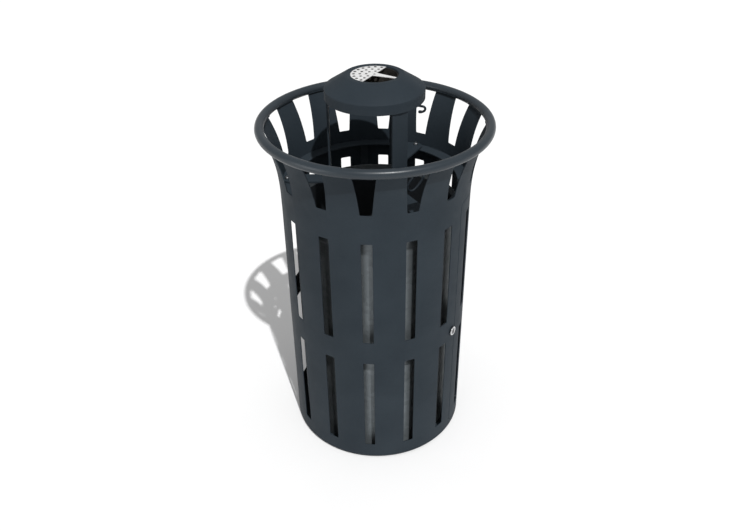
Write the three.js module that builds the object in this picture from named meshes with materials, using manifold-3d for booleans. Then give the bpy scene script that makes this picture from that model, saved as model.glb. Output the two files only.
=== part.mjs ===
// Street litter bin: a round slotted steel body with a flared top, a lockable side
// door, a lift-out liner, and a tripod that carries a hooded ashtray over the mouth.
// Millimetres, +Z up. The origin is on the ground, on the bin's own axis.
// An angle of 0 degrees faces -Y, which is the front, and grows towards +X.

import * as THREE from 'three';
import { mergeVertices } from 'three/addons/utils/BufferGeometryUtils.js';
import Module from 'manifold-3d';

const wasm = await Module();
wasm.setup();

// Shell: rolled and slotted sheet, flared outwards above FLARE_Z.
const SHELL_RADIUS = 210;
const SHEET = 2;
const SHELL_Z = 6;
const FLARE_Z = 610;
const FLARE_HEIGHT = 183.3;
const FLARE_REACH = 33.6;
const FLARE_POWER = 2.8;
const WELD_GAP = 0.3;

// Slots: two rows of upright slots, and the gaps between the flared tines above them.
const SLOT_COUNT = 14;
const SLOT_PITCH = 360 / SLOT_COUNT;
const FIRST_SLOT = -5.5;
const SLOT_HALF = 3.3;
const TINE_GAP_HALF = 6.0;
const LOWER_SLOT_Z = [44, 302];
const UPPER_SLOT_Z = [361, 618];
const TINE_GAP_Z = 686;
const FLARE_STEPS = 7;

// Rim tube on the tine tips.
const RIM_Z = FLARE_Z + FLARE_HEIGHT;
const RIM_RADIUS = SHELL_RADIUS + FLARE_REACH;
const RIM_TUBE = 10;
const RIM_FACETS = 60;
const TINE_TIP_DEPTH = 9.4;
const TINE_TIP_Z = RIM_Z - TINE_TIP_DEPTH;

// Door: five slots wide, cut out of the shell between two plain bands.
const DOOR_FIRST_SLOT = 3;
const DOOR_SLOTS = 5;
const DOOR_START = FIRST_SLOT + (DOOR_FIRST_SLOT - 0.5) * SLOT_PITCH;
const DOOR_END = DOOR_START + DOOR_SLOTS * SLOT_PITCH;
const DOORWAY_Z = [21, 655];
const DOOR_GAP = 1.4;
const DOOR_CORNER = 10;
const STOP_HALF_WIDTH = 9;
const STOP_GAP = 0.5;

// Floor of the bin, its feet and its holes.
const PLATE_Z = 10;
const PLATE_THICKNESS = 3;
const PLATE_RADIUS = 207.3;
const FOOT_COUNT = 4;
const FIRST_FOOT = 45;
const FOOT_CIRCLE = 165;
const FOOT_RADIUS = 18;
const FOOT_HEIGHT = PLATE_Z - WELD_GAP;
const FOOT_BORE = 3.5;
const FOOT_RECESS = 7.5;
const FOOT_RECESS_DEPTH = 5;
const FOOT_CHAMFER = 2;
const FOOT_SCREW_HEAD = 6.2;
const FOOT_SCREW_RADIUS = 3;
const ANCHOR_COUNT = 3;
const ANCHOR_CIRCLE = 110;
const ANCHOR_HOLE = 6.5;
const DRAIN_COUNT = 4;
const DRAIN_CIRCLE = 60;
const DRAIN_HOLE = 5;

// Ledge ring inside the shell, just above the door.
const RING_Z = 656;
const RING_THICKNESS = 3;
const RING_INNER = 181;

// Tripod: three flat bars, each bent into a post and a radial arm.
const LEG_ANGLES = [30, 150, 270];
const BAR_THICKNESS = 4;
const BAR_WIDTH = 36;
const POST_OUTER = 100.6;
const ARM_END = 205;
const ARM_Z = RING_Z + RING_THICKNESS + WELD_GAP;
const BOLT_CIRCLE = 195;
const BOLT_RADIUS = 3;
const BOLT_HOLE = BOLT_RADIUS + 0.5;
const BOLT_HEAD = 5.5;
const BOLT_HEAD_HEIGHT = 3.3;
const BOLT_FACETS = 6;
const BOLT_NUT = { across: 10, hole: BOLT_RADIUS + 0.3, thickness: 5 };
const BOLT_END_Z = RING_Z - BOLT_NUT.thickness - 3;

// Hood: a shallow cone with a skirt below it and a round opening on top.
const HOOD_RADIUS = 105;
const HOOD_SHEET = 2;
const SKIRT_Z = 849.5;
const FOLD_Z = 871;
const HOOD_TOP_Z = 898.6;
const HOOD_TOP_RADIUS = 61.5;
const HOOD_OPENING = 50;
const HOOD_ROUND = 2;

// Ashtray: a sleeve under the hood's opening, a cup in it, and a plate on the cup.
const SLEEVE_INNER = 49.3;
const SLEEVE_WALL = 1.8;
const SLEEVE_LIP_INNER = 38;
const SLEEVE_Z = 829;
const SLEEVE_TOP_Z = HOOD_TOP_Z - HOOD_SHEET - 1;
const CUP_RADIUS = 48.6;
const CUP_WALL = 1.2;
const CUP_CORNER = 3;
const CUP_TOP_Z = 895.7;
const STUB_PLATE_RADIUS = 49.4;
const STUB_PLATE_THICKNESS = 1.6;
const STUB_PLATE_HALF = [150, 330];
const TONGUE_ANGLE = 62.5;
const TONGUE_HALF = 3;
const TONGUE_ROOT = 8;
const STUB_HOLE_RINGS = [
  { radius: 0, count: 1, size: 2.4 },
  { radius: 17, count: 4, size: 2.8 },
  { radius: 30, count: 7, size: 3.0 },
  { radius: 43, count: 10, size: 3.2 },
];

// Bent wire hooks: one under the hood's edge, one on the edge of the front post.
const HOOK_WIRE = 2.5;
const HOOD_HOOK_ANGLE = 62.5;

// Liner: a galvanised bucket that stands on the floor plate.
const LINER_RADIUS = 184;
const LINER_WALL = 1.2;
const LINER_Z = PLATE_Z + PLATE_THICKNESS + WELD_GAP;
const LINER_TOP_Z = 604;
const LINER_CORNER = 5;
const LINER_BAND = 19;
const LINER_BAND_STEP = 3;
const LINER_LIP = 2.5;
const GRIP_LENGTH = 90;
const GRIP_HEIGHT = 28;
const GRIP_Z = 548;

// Lock beside the door, and the hinges at the door's far edge.
const LOCK_ANGLE = 55.5;
const LOCK_Z = 324;
const LOCK_CLEARANCE = 36;
const LOCK_FACE = 11;
const LOCK_PROUD = 4;
const LOCK_BARREL = 9;
const LOCK_BARREL_END = 198;
const LOCK_BORE = 6.9;
const LOCK_HOLE = LOCK_BARREL + 0.6;
const LOCK_NUT = { across: 22, hole: LOCK_BARREL + 0.5, thickness: 5 };
const LOCK_NUT_X = 202;
const PLUG_RADIUS = 6.5;
const PLUG_SQUARE = 6;
const PLUG_SUNK = 0.4;
const PLUG_SCREW_HOLE = 1.9;
const KEYWAY = { width: 1.6, height: 7.5, depth: 4 };
const CAM_X = 194.3;
const CAM_SHEET = 2.5;
const CAM_HALF = 7.5;
const CAM_REACH = 32;
const CAM_SCREW = { end: 202, seat: 193.7, head: 5, headHeight: 2.5, radius: 1.6 };
const HINGE_X = 218;
const HINGE_HEIGHTS = [120, 540];
const HINGE_BARREL = 6.5;
const HINGE_PIN = 3;
const HINGE_PLAY = 0.4;
const HINGE_PIN_HEAD = { radius: 5, thickness: 1.7, crown: 1 };
const HINGE_HALF = 30;
const HINGE_LEAF = { width: 22, sheet: 2.2, gap: 0.6 };

// Tools that cut a hole run this far past both faces.
const CUT_PAST = 1;
const EDGE_TOLERANCE = 0.01;
const MERGE_TOLERANCE = 1e-4;

// Facets round a full turn: large sheets, middling pieces, small pieces and screws.
const FINE = 48;
const MEDIUM = 36;
const SMALL = 20;
const COARSE = 10;

const COATED = { color: 0x33393c, roughness: 0.55, metalness: 0.3 };
const GALVANISED = { color: 0x9aa0a3, roughness: 0.45, metalness: 0.9 };
const POLISHED = { color: 0xd9dadb, roughness: 0.2, metalness: 1.0 };
const ZINC = { color: 0xb4b8bb, roughness: 0.35, metalness: 1.0 };
const CHROME = { color: 0xe4e6e8, roughness: 0.08, metalness: 1.0 };
const RUBBER = { color: 0x191919, roughness: 0.9, metalness: 0.0 };

const bin = new THREE.Group();

function addPart(name, geometry, finish, parent = bin) {
  const mesh = new THREE.Mesh(geometry, new THREE.MeshStandardMaterial(finish));
  mesh.name = name;
  parent.add(mesh);
  return mesh;
}

// A group turned so that its +X points outwards at the given angle round the bin.
function facing(angle, height = 0) {
  const group = new THREE.Group();
  group.rotation.z = THREE.MathUtils.degToRad(angle - 90);
  group.position.z = height;
  bin.add(group);
  return group;
}

function polar(radius, angle) {
  const turn = THREE.MathUtils.degToRad(angle);
  return [radius * Math.sin(turn), -radius * Math.cos(turn)];
}

function toSolid(geometry) {
  const bare = geometry.clone();
  bare.deleteAttribute('normal');
  bare.deleteAttribute('uv');
  const merged = mergeVertices(bare, MERGE_TOLERANCE);
  const vertProperties = new Float32Array(merged.attributes.position.array);
  const triVerts = new Uint32Array(merged.index.array);
  return new wasm.Manifold(new wasm.Mesh({ numProp: 3, vertProperties, triVerts }));
}

function toGeometry(solid) {
  const mesh = solid.getMesh();
  const geometry = new THREE.BufferGeometry();
  geometry.setAttribute('position', new THREE.BufferAttribute(mesh.vertProperties, 3));
  geometry.setIndex(new THREE.BufferAttribute(mesh.triVerts, 1));
  geometry.computeVertexNormals();
  return geometry;
}

function cut(geometry, tools) {
  let solid = toSolid(geometry);
  for (const tool of tools) {
    solid = solid.subtract(toSolid(tool));
  }
  return toGeometry(solid);
}

function join(first, second) {
  return toGeometry(toSolid(first).add(toSolid(second)));
}

// Turns a closed outline of [radius, height] points about the upright axis.
function turned(outline, segments) {
  const points = outline.map(([radius, height]) => new THREE.Vector2(radius, height));
  return new THREE.LatheGeometry(points, segments).rotateX(Math.PI / 2);
}

// Turns an outline about the local X axis; its heights run along +X.
function turnedAlongX(outline, segments) {
  return turned(outline, segments).rotateY(Math.PI / 2);
}

function ringOutline(inner, outer, bottom, top) {
  return [[inner, bottom], [outer, bottom], [outer, top], [inner, top], [inner, bottom]];
}

function rod(radius, bottom, top, segments = 16) {
  return turned([[0, bottom], [radius, bottom], [radius, top], [0, top]], segments);
}

function box(width, depth, height, x, y, z) {
  return new THREE.BoxGeometry(width, depth, height).translate(x, y, z);
}

function outlineShape(points) {
  return new THREE.Shape(points.map(([x, y]) => new THREE.Vector2(x, y)));
}

function extruded(shape, depth, curveSegments = 6) {
  return new THREE.ExtrudeGeometry(shape, { depth, bevelEnabled: false, curveSegments });
}

// Round bar that follows a smooth curve through the given points.
function wire(points, radius, steps) {
  const curve = new THREE.CatmullRomCurve3(points.map((point) => new THREE.Vector3(...point)));
  const section = new THREE.Shape().absarc(0, 0, radius, 0, 2 * Math.PI);
  const options = { steps, extrudePath: curve, curveSegments: 4 };
  return new THREE.ExtrudeGeometry(section, options);
}

// Hexagonal nut with a round hole, standing on the given height.
function nut({ across, hole, thickness }, bottom) {
  const corner = across / Math.sqrt(3);
  const blank = new THREE.CylinderGeometry(corner, corner, thickness, 6).rotateX(Math.PI / 2);
  blank.translate(0, 0, bottom + thickness / 2);
  return cut(blank, [rod(hole, bottom - CUT_PAST, bottom + thickness + CUT_PAST)]);
}

// Outer radius of the shell at a height.
function shellRadius(height) {
  const climb = Math.max(0, (height - FLARE_Z) / FLARE_HEIGHT);
  return SHELL_RADIUS + FLARE_REACH * climb ** FLARE_POWER;
}

// Half the angle of the slot column at a height: constant below, wider between the tines.
function slotHalfAngle(height) {
  const climb = Math.max(0, (height - TINE_GAP_Z) / (RIM_Z - TINE_GAP_Z));
  return SLOT_HALF + (TINE_GAP_HALF - SLOT_HALF) * climb;
}

// How far a door corner drops at a distance from the door's upright edge.
function cornerDrop(distance, radius) {
  const inset = Math.max(0, radius - distance);
  return radius - Math.sqrt(radius * radius - inset * inset);
}

// Column lines round the shell. Each one gives its angle at a height, the slot it
// belongs to when a slot starts there, and its distance from the doorway's edge.
function columnLines() {
  const bandShares = [1 / 4, 1 / 2, 3 / 4];
  const cornerSteps = [1.5, 4, DOOR_CORNER];
  const lines = [];
  for (let slot = 0; slot < SLOT_COUNT; slot += 1) {
    const centre = FIRST_SLOT + slot * SLOT_PITCH;
    lines.push({ slot, angleAt: (z) => centre - slotHalfAngle(z) });
    lines.push({ angleAt: (z) => centre + slotHalfAngle(z) });
    const middle = centre + SLOT_PITCH / 2;
    for (const share of bandShares) {
      const lean = 2 * share - 1;
      lines.push({ angleAt: (z) => middle + lean * (SLOT_PITCH / 2 - slotHalfAngle(z)) });
    }
  }
  for (const step of cornerSteps) {
    const turn = THREE.MathUtils.radToDeg(step / SHELL_RADIUS);
    lines.push({ angleAt: () => DOOR_START + turn });
    lines.push({ angleAt: () => DOOR_END - turn });
  }
  lines.sort((a, b) => a.angleAt(0) - b.angleAt(0));
  return lines;
}

// Closed sheet of constant thickness on a grid of column and row lines.
// place(column, row) gives { angle, radius, z } of the outer face; isOpen marks holes.
function gridSheet(columns, rows, closed, place, isOpen) {
  const cellColumns = closed ? columns : columns - 1;
  const positions = [];
  const faces = [];
  const solidCell = (column, row) => {
    const outside = row < 0 || row >= rows - 1 || (!closed && (column < 0 || column >= cellColumns));
    return !outside && !isOpen((column + cellColumns) % cellColumns, row);
  };
  for (let column = 0; column < columns; column += 1) {
    for (let row = 0; row < rows; row += 1) {
      const { angle, radius, z } = place(column, row);
      positions.push(...polar(radius, angle), z);
      positions.push(...polar(radius - SHEET, angle), z);
    }
  }
  const outer = (column, row) => 2 * ((column % columns) * rows + row);
  const inner = (column, row) => outer(column, row) + 1;
  const quad = (a, b, c, d) => faces.push(a, b, c, a, c, d);
  for (let column = 0; column < cellColumns; column += 1) {
    for (let row = 0; row < rows - 1; row += 1) {
      if (!solidCell(column, row)) {
        continue;
      }
      const right = column + 1;
      const above = row + 1;
      quad(outer(column, row), outer(right, row), outer(right, above), outer(column, above));
      quad(inner(column, above), inner(right, above), inner(right, row), inner(column, row));
      if (!solidCell(column, row - 1)) {
        quad(inner(column, row), inner(right, row), outer(right, row), outer(column, row));
      }
      if (!solidCell(column, row + 1)) {
        quad(outer(column, above), outer(right, above), inner(right, above), inner(column, above));
      }
      if (!solidCell(column - 1, row)) {
        quad(inner(column, row), outer(column, row), outer(column, above), inner(column, above));
      }
      if (!solidCell(column + 1, row)) {
        quad(outer(right, row), inner(right, row), inner(right, above), outer(right, above));
      }
    }
  }
  return usedPoints(positions, faces);
}

// Drops the points that no face uses.
function usedPoints(positions, faces) {
  const renumbered = new Map();
  const kept = [];
  const index = faces.map((point) => {
    if (!renumbered.has(point)) {
      renumbered.set(point, renumbered.size);
      kept.push(...positions.slice(3 * point, 3 * point + 3));
    }
    return renumbered.get(point);
  });
  const geometry = new THREE.BufferGeometry();
  geometry.setAttribute('position', new THREE.Float32BufferAttribute(kept, 3));
  geometry.setIndex(index);
  geometry.computeVertexNormals();
  return geometry;
}

function between(value, [low, high]) {
  return value > low && value < high;
}

function inSlotRow(z) {
  return between(z, LOWER_SLOT_Z) || between(z, UPPER_SLOT_Z);
}

function shellBody() {
  const lines = columnLines();
  const heights = [SHELL_Z, DOORWAY_Z[0], ...LOWER_SLOT_Z, ...UPPER_SLOT_Z, DOORWAY_Z[1]];
  for (let step = 0; step <= FLARE_STEPS; step += 1) {
    heights.push(TINE_GAP_Z + ((TINE_TIP_Z - TINE_GAP_Z) * step) / FLARE_STEPS);
  }
  const doorwayDistance = (angle) => {
    const turn = Math.min(angle - DOOR_START, DOOR_END - angle);
    return THREE.MathUtils.degToRad(turn) * SHELL_RADIUS;
  };
  const place = (column, row) => {
    let z = heights[row];
    const angle = lines[column].angleAt(z);
    const distance = doorwayDistance(angle);
    const drop = distance > -EDGE_TOLERANCE ? cornerDrop(distance, DOOR_CORNER) : 0;
    if (z === DOORWAY_Z[0]) {
      z += drop;
    } else if (z === DOORWAY_Z[1]) {
      z -= drop;
    }
    return { angle, radius: shellRadius(z), z };
  };
  const isOpen = (column, row) => {
    const middle = (heights[row] + heights[row + 1]) / 2;
    const next = lines[(column + 1) % lines.length];
    const wrap = column + 1 === lines.length ? 360 : 0;
    const angle = (lines[column].angleAt(0) + next.angleAt(0) + wrap) / 2;
    const inDoorway = between(angle, [DOOR_START, DOOR_END]) && between(middle, DOORWAY_Z);
    const inSlot = lines[column].slot !== undefined && (inSlotRow(middle) || middle > TINE_GAP_Z);
    return inDoorway || inSlot;
  };
  const sheet = gridSheet(lines.length, heights.length, true, place, isOpen);
  const lockHole = rod(LOCK_HOLE, LOCK_NUT_X, SHELL_RADIUS + LOCK_PROUD, SMALL);
  lockHole.rotateY(Math.PI / 2).rotateZ(THREE.MathUtils.degToRad(LOCK_ANGLE - 90));
  lockHole.translate(0, 0, LOCK_Z);
  return cut(sheet, [lockHole]);
}

function doorPanel() {
  const gapTurn = THREE.MathUtils.radToDeg(DOOR_GAP / SHELL_RADIUS);
  const start = DOOR_START + gapTurn;
  const end = DOOR_END - gapTurn;
  const corner = DOOR_CORNER - DOOR_GAP;
  const cornerSteps = [0, 1, 3, corner];
  const angles = [];
  for (const step of cornerSteps) {
    const turn = THREE.MathUtils.radToDeg(step / SHELL_RADIUS);
    angles.push(start + turn, end - turn);
  }
  const slotStarts = [];
  for (let slot = 0; slot < DOOR_SLOTS; slot += 1) {
    const centre = DOOR_START + (slot + 0.5) * SLOT_PITCH;
    slotStarts.push(centre - SLOT_HALF);
    angles.push(centre - SLOT_HALF, centre + SLOT_HALF);
    const band = SLOT_PITCH / 2 - SLOT_HALF;
    angles.push(centre + SLOT_HALF + band / 2, centre - SLOT_HALF - band / 2);
    if (slot > 0) {
      angles.push(centre - SLOT_PITCH / 2);
    }
  }
  angles.sort((a, b) => a - b);
  const bottom = DOORWAY_Z[0] + DOOR_GAP;
  const top = DOORWAY_Z[1] - DOOR_GAP;
  const heights = [bottom, ...LOWER_SLOT_Z, ...UPPER_SLOT_Z, top];
  const place = (column, row) => {
    const angle = angles[column];
    const turn = Math.min(angle - start, end - angle);
    const drop = cornerDrop(THREE.MathUtils.degToRad(turn) * SHELL_RADIUS, corner);
    let z = heights[row];
    if (row === 0) {
      z += drop;
    } else if (row === heights.length - 1) {
      z -= drop;
    }
    return { angle, radius: SHELL_RADIUS, z };
  };
  const isOpen = (column, row) => {
    const middle = (heights[row] + heights[row + 1]) / 2;
    return slotStarts.includes(angles[column]) && inSlotRow(middle);
  };
  return gridSheet(angles.length, heights.length, false, place, isOpen);
}

function holeTools(radius, circle, count, firstAngle, bottom, top) {
  const tools = [];
  for (let index = 0; index < count; index += 1) {
    const [x, y] = polar(circle, firstAngle + (index * 360) / count);
    tools.push(rod(radius, bottom - CUT_PAST, top + CUT_PAST, COARSE).translate(x, y, 0));
  }
  return tools;
}

function basePlate() {
  const top = PLATE_Z + PLATE_THICKNESS;
  const disc = rod(PLATE_RADIUS, PLATE_Z, top, FINE);
  return cut(disc, [
    ...holeTools(FOOT_BORE, FOOT_CIRCLE, FOOT_COUNT, FIRST_FOOT, PLATE_Z, top),
    ...holeTools(ANCHOR_HOLE, ANCHOR_CIRCLE, ANCHOR_COUNT, 0, PLATE_Z, top),
    ...holeTools(DRAIN_HOLE, DRAIN_CIRCLE, DRAIN_COUNT, FIRST_FOOT, PLATE_Z, top),
  ]);
}

// Rubber foot with a counterbore for its screw.
function foot() {
  return turned([
    [FOOT_BORE, FOOT_RECESS_DEPTH], [FOOT_RECESS, FOOT_RECESS_DEPTH], [FOOT_RECESS, 0],
    [FOOT_RADIUS - FOOT_CHAMFER, 0], [FOOT_RADIUS, FOOT_CHAMFER], [FOOT_RADIUS, FOOT_HEIGHT],
    [FOOT_BORE, FOOT_HEIGHT], [FOOT_BORE, FOOT_RECESS_DEPTH],
  ], 16);
}

// Pan head screw that comes up through the foot into the floor plate.
function footScrew() {
  const headBottom = 1.5;
  const chamfer = 1.1;
  const seat = FOOT_RECESS_DEPTH - WELD_GAP;
  const end = PLATE_Z + PLATE_THICKNESS - WELD_GAP;
  return turned([
    [0, headBottom], [FOOT_SCREW_HEAD - chamfer, headBottom], [FOOT_SCREW_HEAD, headBottom + chamfer],
    [FOOT_SCREW_HEAD, seat], [FOOT_SCREW_RADIUS, seat], [FOOT_SCREW_RADIUS, end], [0, end],
  ], COARSE);
}

function ledgeRing() {
  const top = RING_Z + RING_THICKNESS;
  const ring = turned(ringOutline(RING_INNER, PLATE_RADIUS, RING_Z, top), FINE);
  return cut(ring, holeTools(BOLT_HOLE, BOLT_CIRCLE, LEG_ANGLES.length, LEG_ANGLES[0], RING_Z, top));
}

// Flat bar bent into a post and an arm, with a rounded arm end and a bolt hole.
function leg() {
  const bend = 3;
  const outerBend = bend + BAR_THICKNESS;
  const postInner = POST_OUTER - BAR_THICKNESS;
  const armTop = ARM_Z + BAR_THICKNESS;
  const postTop = FOLD_Z - HOOD_SHEET - bend;
  const side = new THREE.Shape();
  side.moveTo(ARM_END, ARM_Z);
  side.lineTo(ARM_END, armTop);
  side.lineTo(POST_OUTER + bend, armTop);
  side.absarc(POST_OUTER + bend, armTop + bend, bend, -Math.PI / 2, -Math.PI, true);
  side.lineTo(POST_OUTER, postTop);
  side.lineTo(postInner, postTop);
  side.lineTo(postInner, ARM_Z + outerBend);
  side.absarc(postInner + outerBend, ARM_Z + outerBend, outerBend, Math.PI, 1.5 * Math.PI, false);
  side.lineTo(ARM_END, ARM_Z);
  const bar = extruded(side, BAR_WIDTH, 4).translate(0, 0, -BAR_WIDTH / 2).rotateX(Math.PI / 2);
  const half = BAR_WIDTH / 2;
  const planStart = postInner - half;
  const plan = new THREE.Shape();
  plan.moveTo(planStart, -half);
  plan.lineTo(ARM_END - half, -half);
  plan.absarc(ARM_END - half, 0, half, -Math.PI / 2, Math.PI / 2, false);
  plan.lineTo(planStart, half);
  const outline = extruded(plan, HOOD_TOP_Z, 12);
  const hole = rod(BOLT_HOLE, ARM_Z - CUT_PAST, armTop + CUT_PAST, 12).translate(BOLT_CIRCLE, 0, 0);
  return toGeometry(toSolid(bar).intersect(toSolid(outline)).subtract(toSolid(hole)));
}

function legBolt() {
  const seat = ARM_Z + BAR_THICKNESS + WELD_GAP;
  const side = seat + BOLT_HEAD_HEIGHT / 3;
  const dome = BOLT_HEAD_HEIGHT - BOLT_HEAD_HEIGHT / 3;
  const domeSteps = 3;
  const outline = [[0, BOLT_END_Z], [BOLT_RADIUS, BOLT_END_Z], [BOLT_RADIUS, seat], [BOLT_HEAD, seat]];
  for (let step = 0; step <= domeSteps; step += 1) {
    const turn = (step / domeSteps) * (Math.PI / 2);
    outline.push([step < domeSteps ? BOLT_HEAD * Math.cos(turn) : 0, side + dome * Math.sin(turn)]);
  }
  return turned(outline, 2 * BOLT_FACETS);
}

// Sheet metal cone with a skirt; the outside folds are rounded.
function hood() {
  const slope = Math.atan2(HOOD_TOP_Z - FOLD_Z, HOOD_RADIUS - HOOD_TOP_RADIUS);
  const rise = HOOD_ROUND * Math.sin(slope);
  const run = HOOD_ROUND * Math.cos(slope);
  const foldInset = HOOD_ROUND / 4;
  const inside = HOOD_RADIUS - HOOD_SHEET;
  const under = HOOD_TOP_Z - HOOD_SHEET;
  const foldUnder = FOLD_Z - HOOD_SHEET * Math.tan((Math.PI / 2 - slope) / 2);
  const topInside = HOOD_TOP_RADIUS - HOOD_SHEET * Math.tan(slope / 2);
  return turned([
    [inside, SKIRT_Z], [HOOD_RADIUS, SKIRT_Z], [HOOD_RADIUS, FOLD_Z - HOOD_ROUND],
    [HOOD_RADIUS - foldInset, FOLD_Z], [HOOD_RADIUS - run, FOLD_Z + rise],
    [HOOD_TOP_RADIUS + run, HOOD_TOP_Z - rise], [HOOD_TOP_RADIUS - HOOD_ROUND, HOOD_TOP_Z],
    [HOOD_OPENING, HOOD_TOP_Z], [HOOD_OPENING, under], [topInside, under],
    [inside, foldUnder], [inside, SKIRT_Z],
  ], FINE);
}

// Sleeve with an inward lip at the bottom, which the cup stands on.
function cupSleeve() {
  const outer = SLEEVE_INNER + SLEEVE_WALL;
  const lipTop = SLEEVE_Z + SLEEVE_WALL;
  return turned([
    [SLEEVE_LIP_INNER, SLEEVE_Z], [outer, SLEEVE_Z], [outer, SLEEVE_TOP_Z], [SLEEVE_INNER, SLEEVE_TOP_Z],
    [SLEEVE_INNER, lipTop], [SLEEVE_LIP_INNER, lipTop], [SLEEVE_LIP_INNER, SLEEVE_Z],
  ], MEDIUM);
}

function ashCup() {
  const bottom = SLEEVE_Z + SLEEVE_WALL + WELD_GAP;
  const floor = bottom + CUP_WALL;
  const inner = CUP_RADIUS - CUP_WALL;
  const innerCorner = CUP_CORNER - CUP_WALL;
  return turned([
    [0, bottom], [CUP_RADIUS - CUP_CORNER, bottom], [CUP_RADIUS, bottom + CUP_CORNER],
    [CUP_RADIUS, CUP_TOP_Z], [inner, CUP_TOP_Z], [inner, floor + innerCorner],
    [inner - innerCorner, floor], [0, floor],
  ], MEDIUM);
}

// Half disc with rings of small holes, and a tapered tongue across the open half.
function stubPlate() {
  const [start, end] = STUB_PLATE_HALF;
  const outlineSteps = 24;
  const outline = [];
  for (let step = 0; step <= outlineSteps; step += 1) {
    outline.push(polar(STUB_PLATE_RADIUS, start + ((end - start) * step) / outlineSteps));
  }
  outline.push(polar(TONGUE_ROOT, end));
  outline.push(polar(STUB_PLATE_RADIUS, TONGUE_ANGLE - TONGUE_HALF));
  outline.push(polar(STUB_PLATE_RADIUS, TONGUE_ANGLE + TONGUE_HALF));
  outline.push(polar(TONGUE_ROOT, start));
  const shape = outlineShape(outline);
  for (const { radius, count, size } of STUB_HOLE_RINGS) {
    for (let index = 0; index < count; index += 1) {
      const angle = start + ((index + 0.5) * (end - start)) / count;
      const hole = new THREE.Path();
      hole.absarc(...polar(radius, angle), size, 0, 2 * Math.PI);
      shape.holes.push(hole);
    }
  }
  return extruded(shape, STUB_PLATE_THICKNESS, 4).translate(0, 0, CUP_TOP_Z + WELD_GAP);
}

// Bucket with a rolled band at the top and two long grip holes under it.
function liner() {
  const inner = LINER_RADIUS - LINER_WALL;
  const floor = LINER_Z + LINER_WALL;
  const innerCorner = LINER_CORNER - LINER_WALL;
  const band = LINER_TOP_Z - LINER_BAND;
  const bandOuter = LINER_RADIUS + LINER_LIP;
  const bandInner = bandOuter - LINER_WALL;
  const lipEdge = 1;
  const bucket = turned([
    [0, LINER_Z], [LINER_RADIUS - LINER_CORNER, LINER_Z], [LINER_RADIUS, LINER_Z + LINER_CORNER],
    [LINER_RADIUS, band], [bandOuter, band + LINER_BAND_STEP], [bandOuter, LINER_TOP_Z - lipEdge],
    [bandOuter - lipEdge, LINER_TOP_Z], [bandInner, LINER_TOP_Z],
    [bandInner, band + LINER_BAND_STEP + lipEdge], [inner, band + lipEdge],
    [inner, floor + innerCorner], [inner - innerCorner, floor], [0, floor],
  ], FINE);
  const half = (GRIP_LENGTH - GRIP_HEIGHT) / 2;
  const grip = new THREE.Shape();
  grip.absarc(half, 0, GRIP_HEIGHT / 2, -Math.PI / 2, Math.PI / 2, false);
  grip.absarc(-half, 0, GRIP_HEIGHT / 2, Math.PI / 2, 1.5 * Math.PI, false);
  const tool = extruded(grip, 4 * LINER_RADIUS, 6).translate(0, 0, -2 * LINER_RADIUS);
  tool.rotateX(Math.PI / 2).rotateZ(Math.PI / 2).translate(0, 0, GRIP_Z);
  return cut(bucket, [tool]);
}

// Strip inside the shell that covers the gap along one upright edge of the door.
function doorStop(angle, bottom, top) {
  const halfTurn = THREE.MathUtils.radToDeg(STOP_HALF_WIDTH / SHELL_RADIUS);
  const shares = [-1, 0, 1];
  const heights = [bottom, top];
  const place = (column, row) => ({
    angle: angle + shares[column] * halfTurn,
    radius: SHELL_RADIUS - SHEET - STOP_GAP,
    z: heights[row],
  });
  return gridSheet(shares.length, heights.length, false, place, () => false);
}

// Folded catch on the door. Seen from above in the lock's own frame, its lip lies
// behind the turned cam and its flange lies against the inside of the door.
function doorKeeper() {
  const height = 40;
  const rise = 2;
  const sheet = 2.5;
  const lipX = 191;
  const lipEnd = 14;
  const web = 37.5;
  const flangeInner = [[200.9, web], [197.7, 52]];
  const flangeOuter = [[200.2, 52.6], [203.9, web - sheet]];
  const section = outlineShape([
    [lipX, lipEnd], [lipX, web], ...flangeInner, ...flangeOuter,
    [lipX + sheet, web - sheet], [lipX + sheet, lipEnd],
  ]);
  return extruded(section, height).translate(0, 0, rise - height / 2);
}

function lockHousing() {
  const seat = SHELL_RADIUS + WELD_GAP;
  const face = seat + LOCK_PROUD;
  const chamfer = 1;
  return turnedAlongX([
    [LOCK_BORE, LOCK_BARREL_END], [LOCK_BARREL, LOCK_BARREL_END], [LOCK_BARREL, seat],
    [LOCK_FACE, seat], [LOCK_FACE, face - chamfer], [LOCK_FACE - chamfer, face],
    [LOCK_BORE, face], [LOCK_BORE, LOCK_BARREL_END],
  ], SMALL);
}

// Lock plug with a keyway in front and a square end behind that turns the cam.
function lockPlug() {
  const front = SHELL_RADIUS + LOCK_PROUD - PLUG_SUNK;
  const squareEnd = CAM_X - WELD_GAP;
  const overlap = 2;
  const back = CAM_X + CAM_SHEET + 2 * WELD_GAP;
  const body = turnedAlongX([[0, back], [PLUG_RADIUS, back], [PLUG_RADIUS, front], [0, front]], SMALL);
  const squareLength = back + overlap - squareEnd;
  const square = box(squareLength, PLUG_SQUARE, PLUG_SQUARE, squareEnd + squareLength / 2, 0, 0);
  const keyway = box(KEYWAY.depth, KEYWAY.width, KEYWAY.height, front, 0, 0);
  const screwHole = rod(PLUG_SCREW_HOLE, squareEnd - CUT_PAST, CAM_SCREW.end + overlap, 12);
  return cut(join(body, square), [keyway, screwHole.rotateY(Math.PI / 2)]);
}

// Cam in its unlocked place, hanging straight down.
function lockCam() {
  const shape = new THREE.Shape();
  shape.absarc(0, 0, CAM_HALF, 0, Math.PI, false);
  shape.absarc(0, CAM_HALF - CAM_REACH, CAM_HALF, Math.PI, 2 * Math.PI, false);
  const plate = extruded(shape, CAM_SHEET, 8).rotateX(Math.PI / 2).rotateZ(Math.PI / 2);
  plate.translate(CAM_X, 0, 0);
  const hole = PLUG_SQUARE + 2 * WELD_GAP;
  return cut(plate, [box(4 * CAM_SHEET, hole, hole, CAM_X, 0, 0)]);
}

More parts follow.
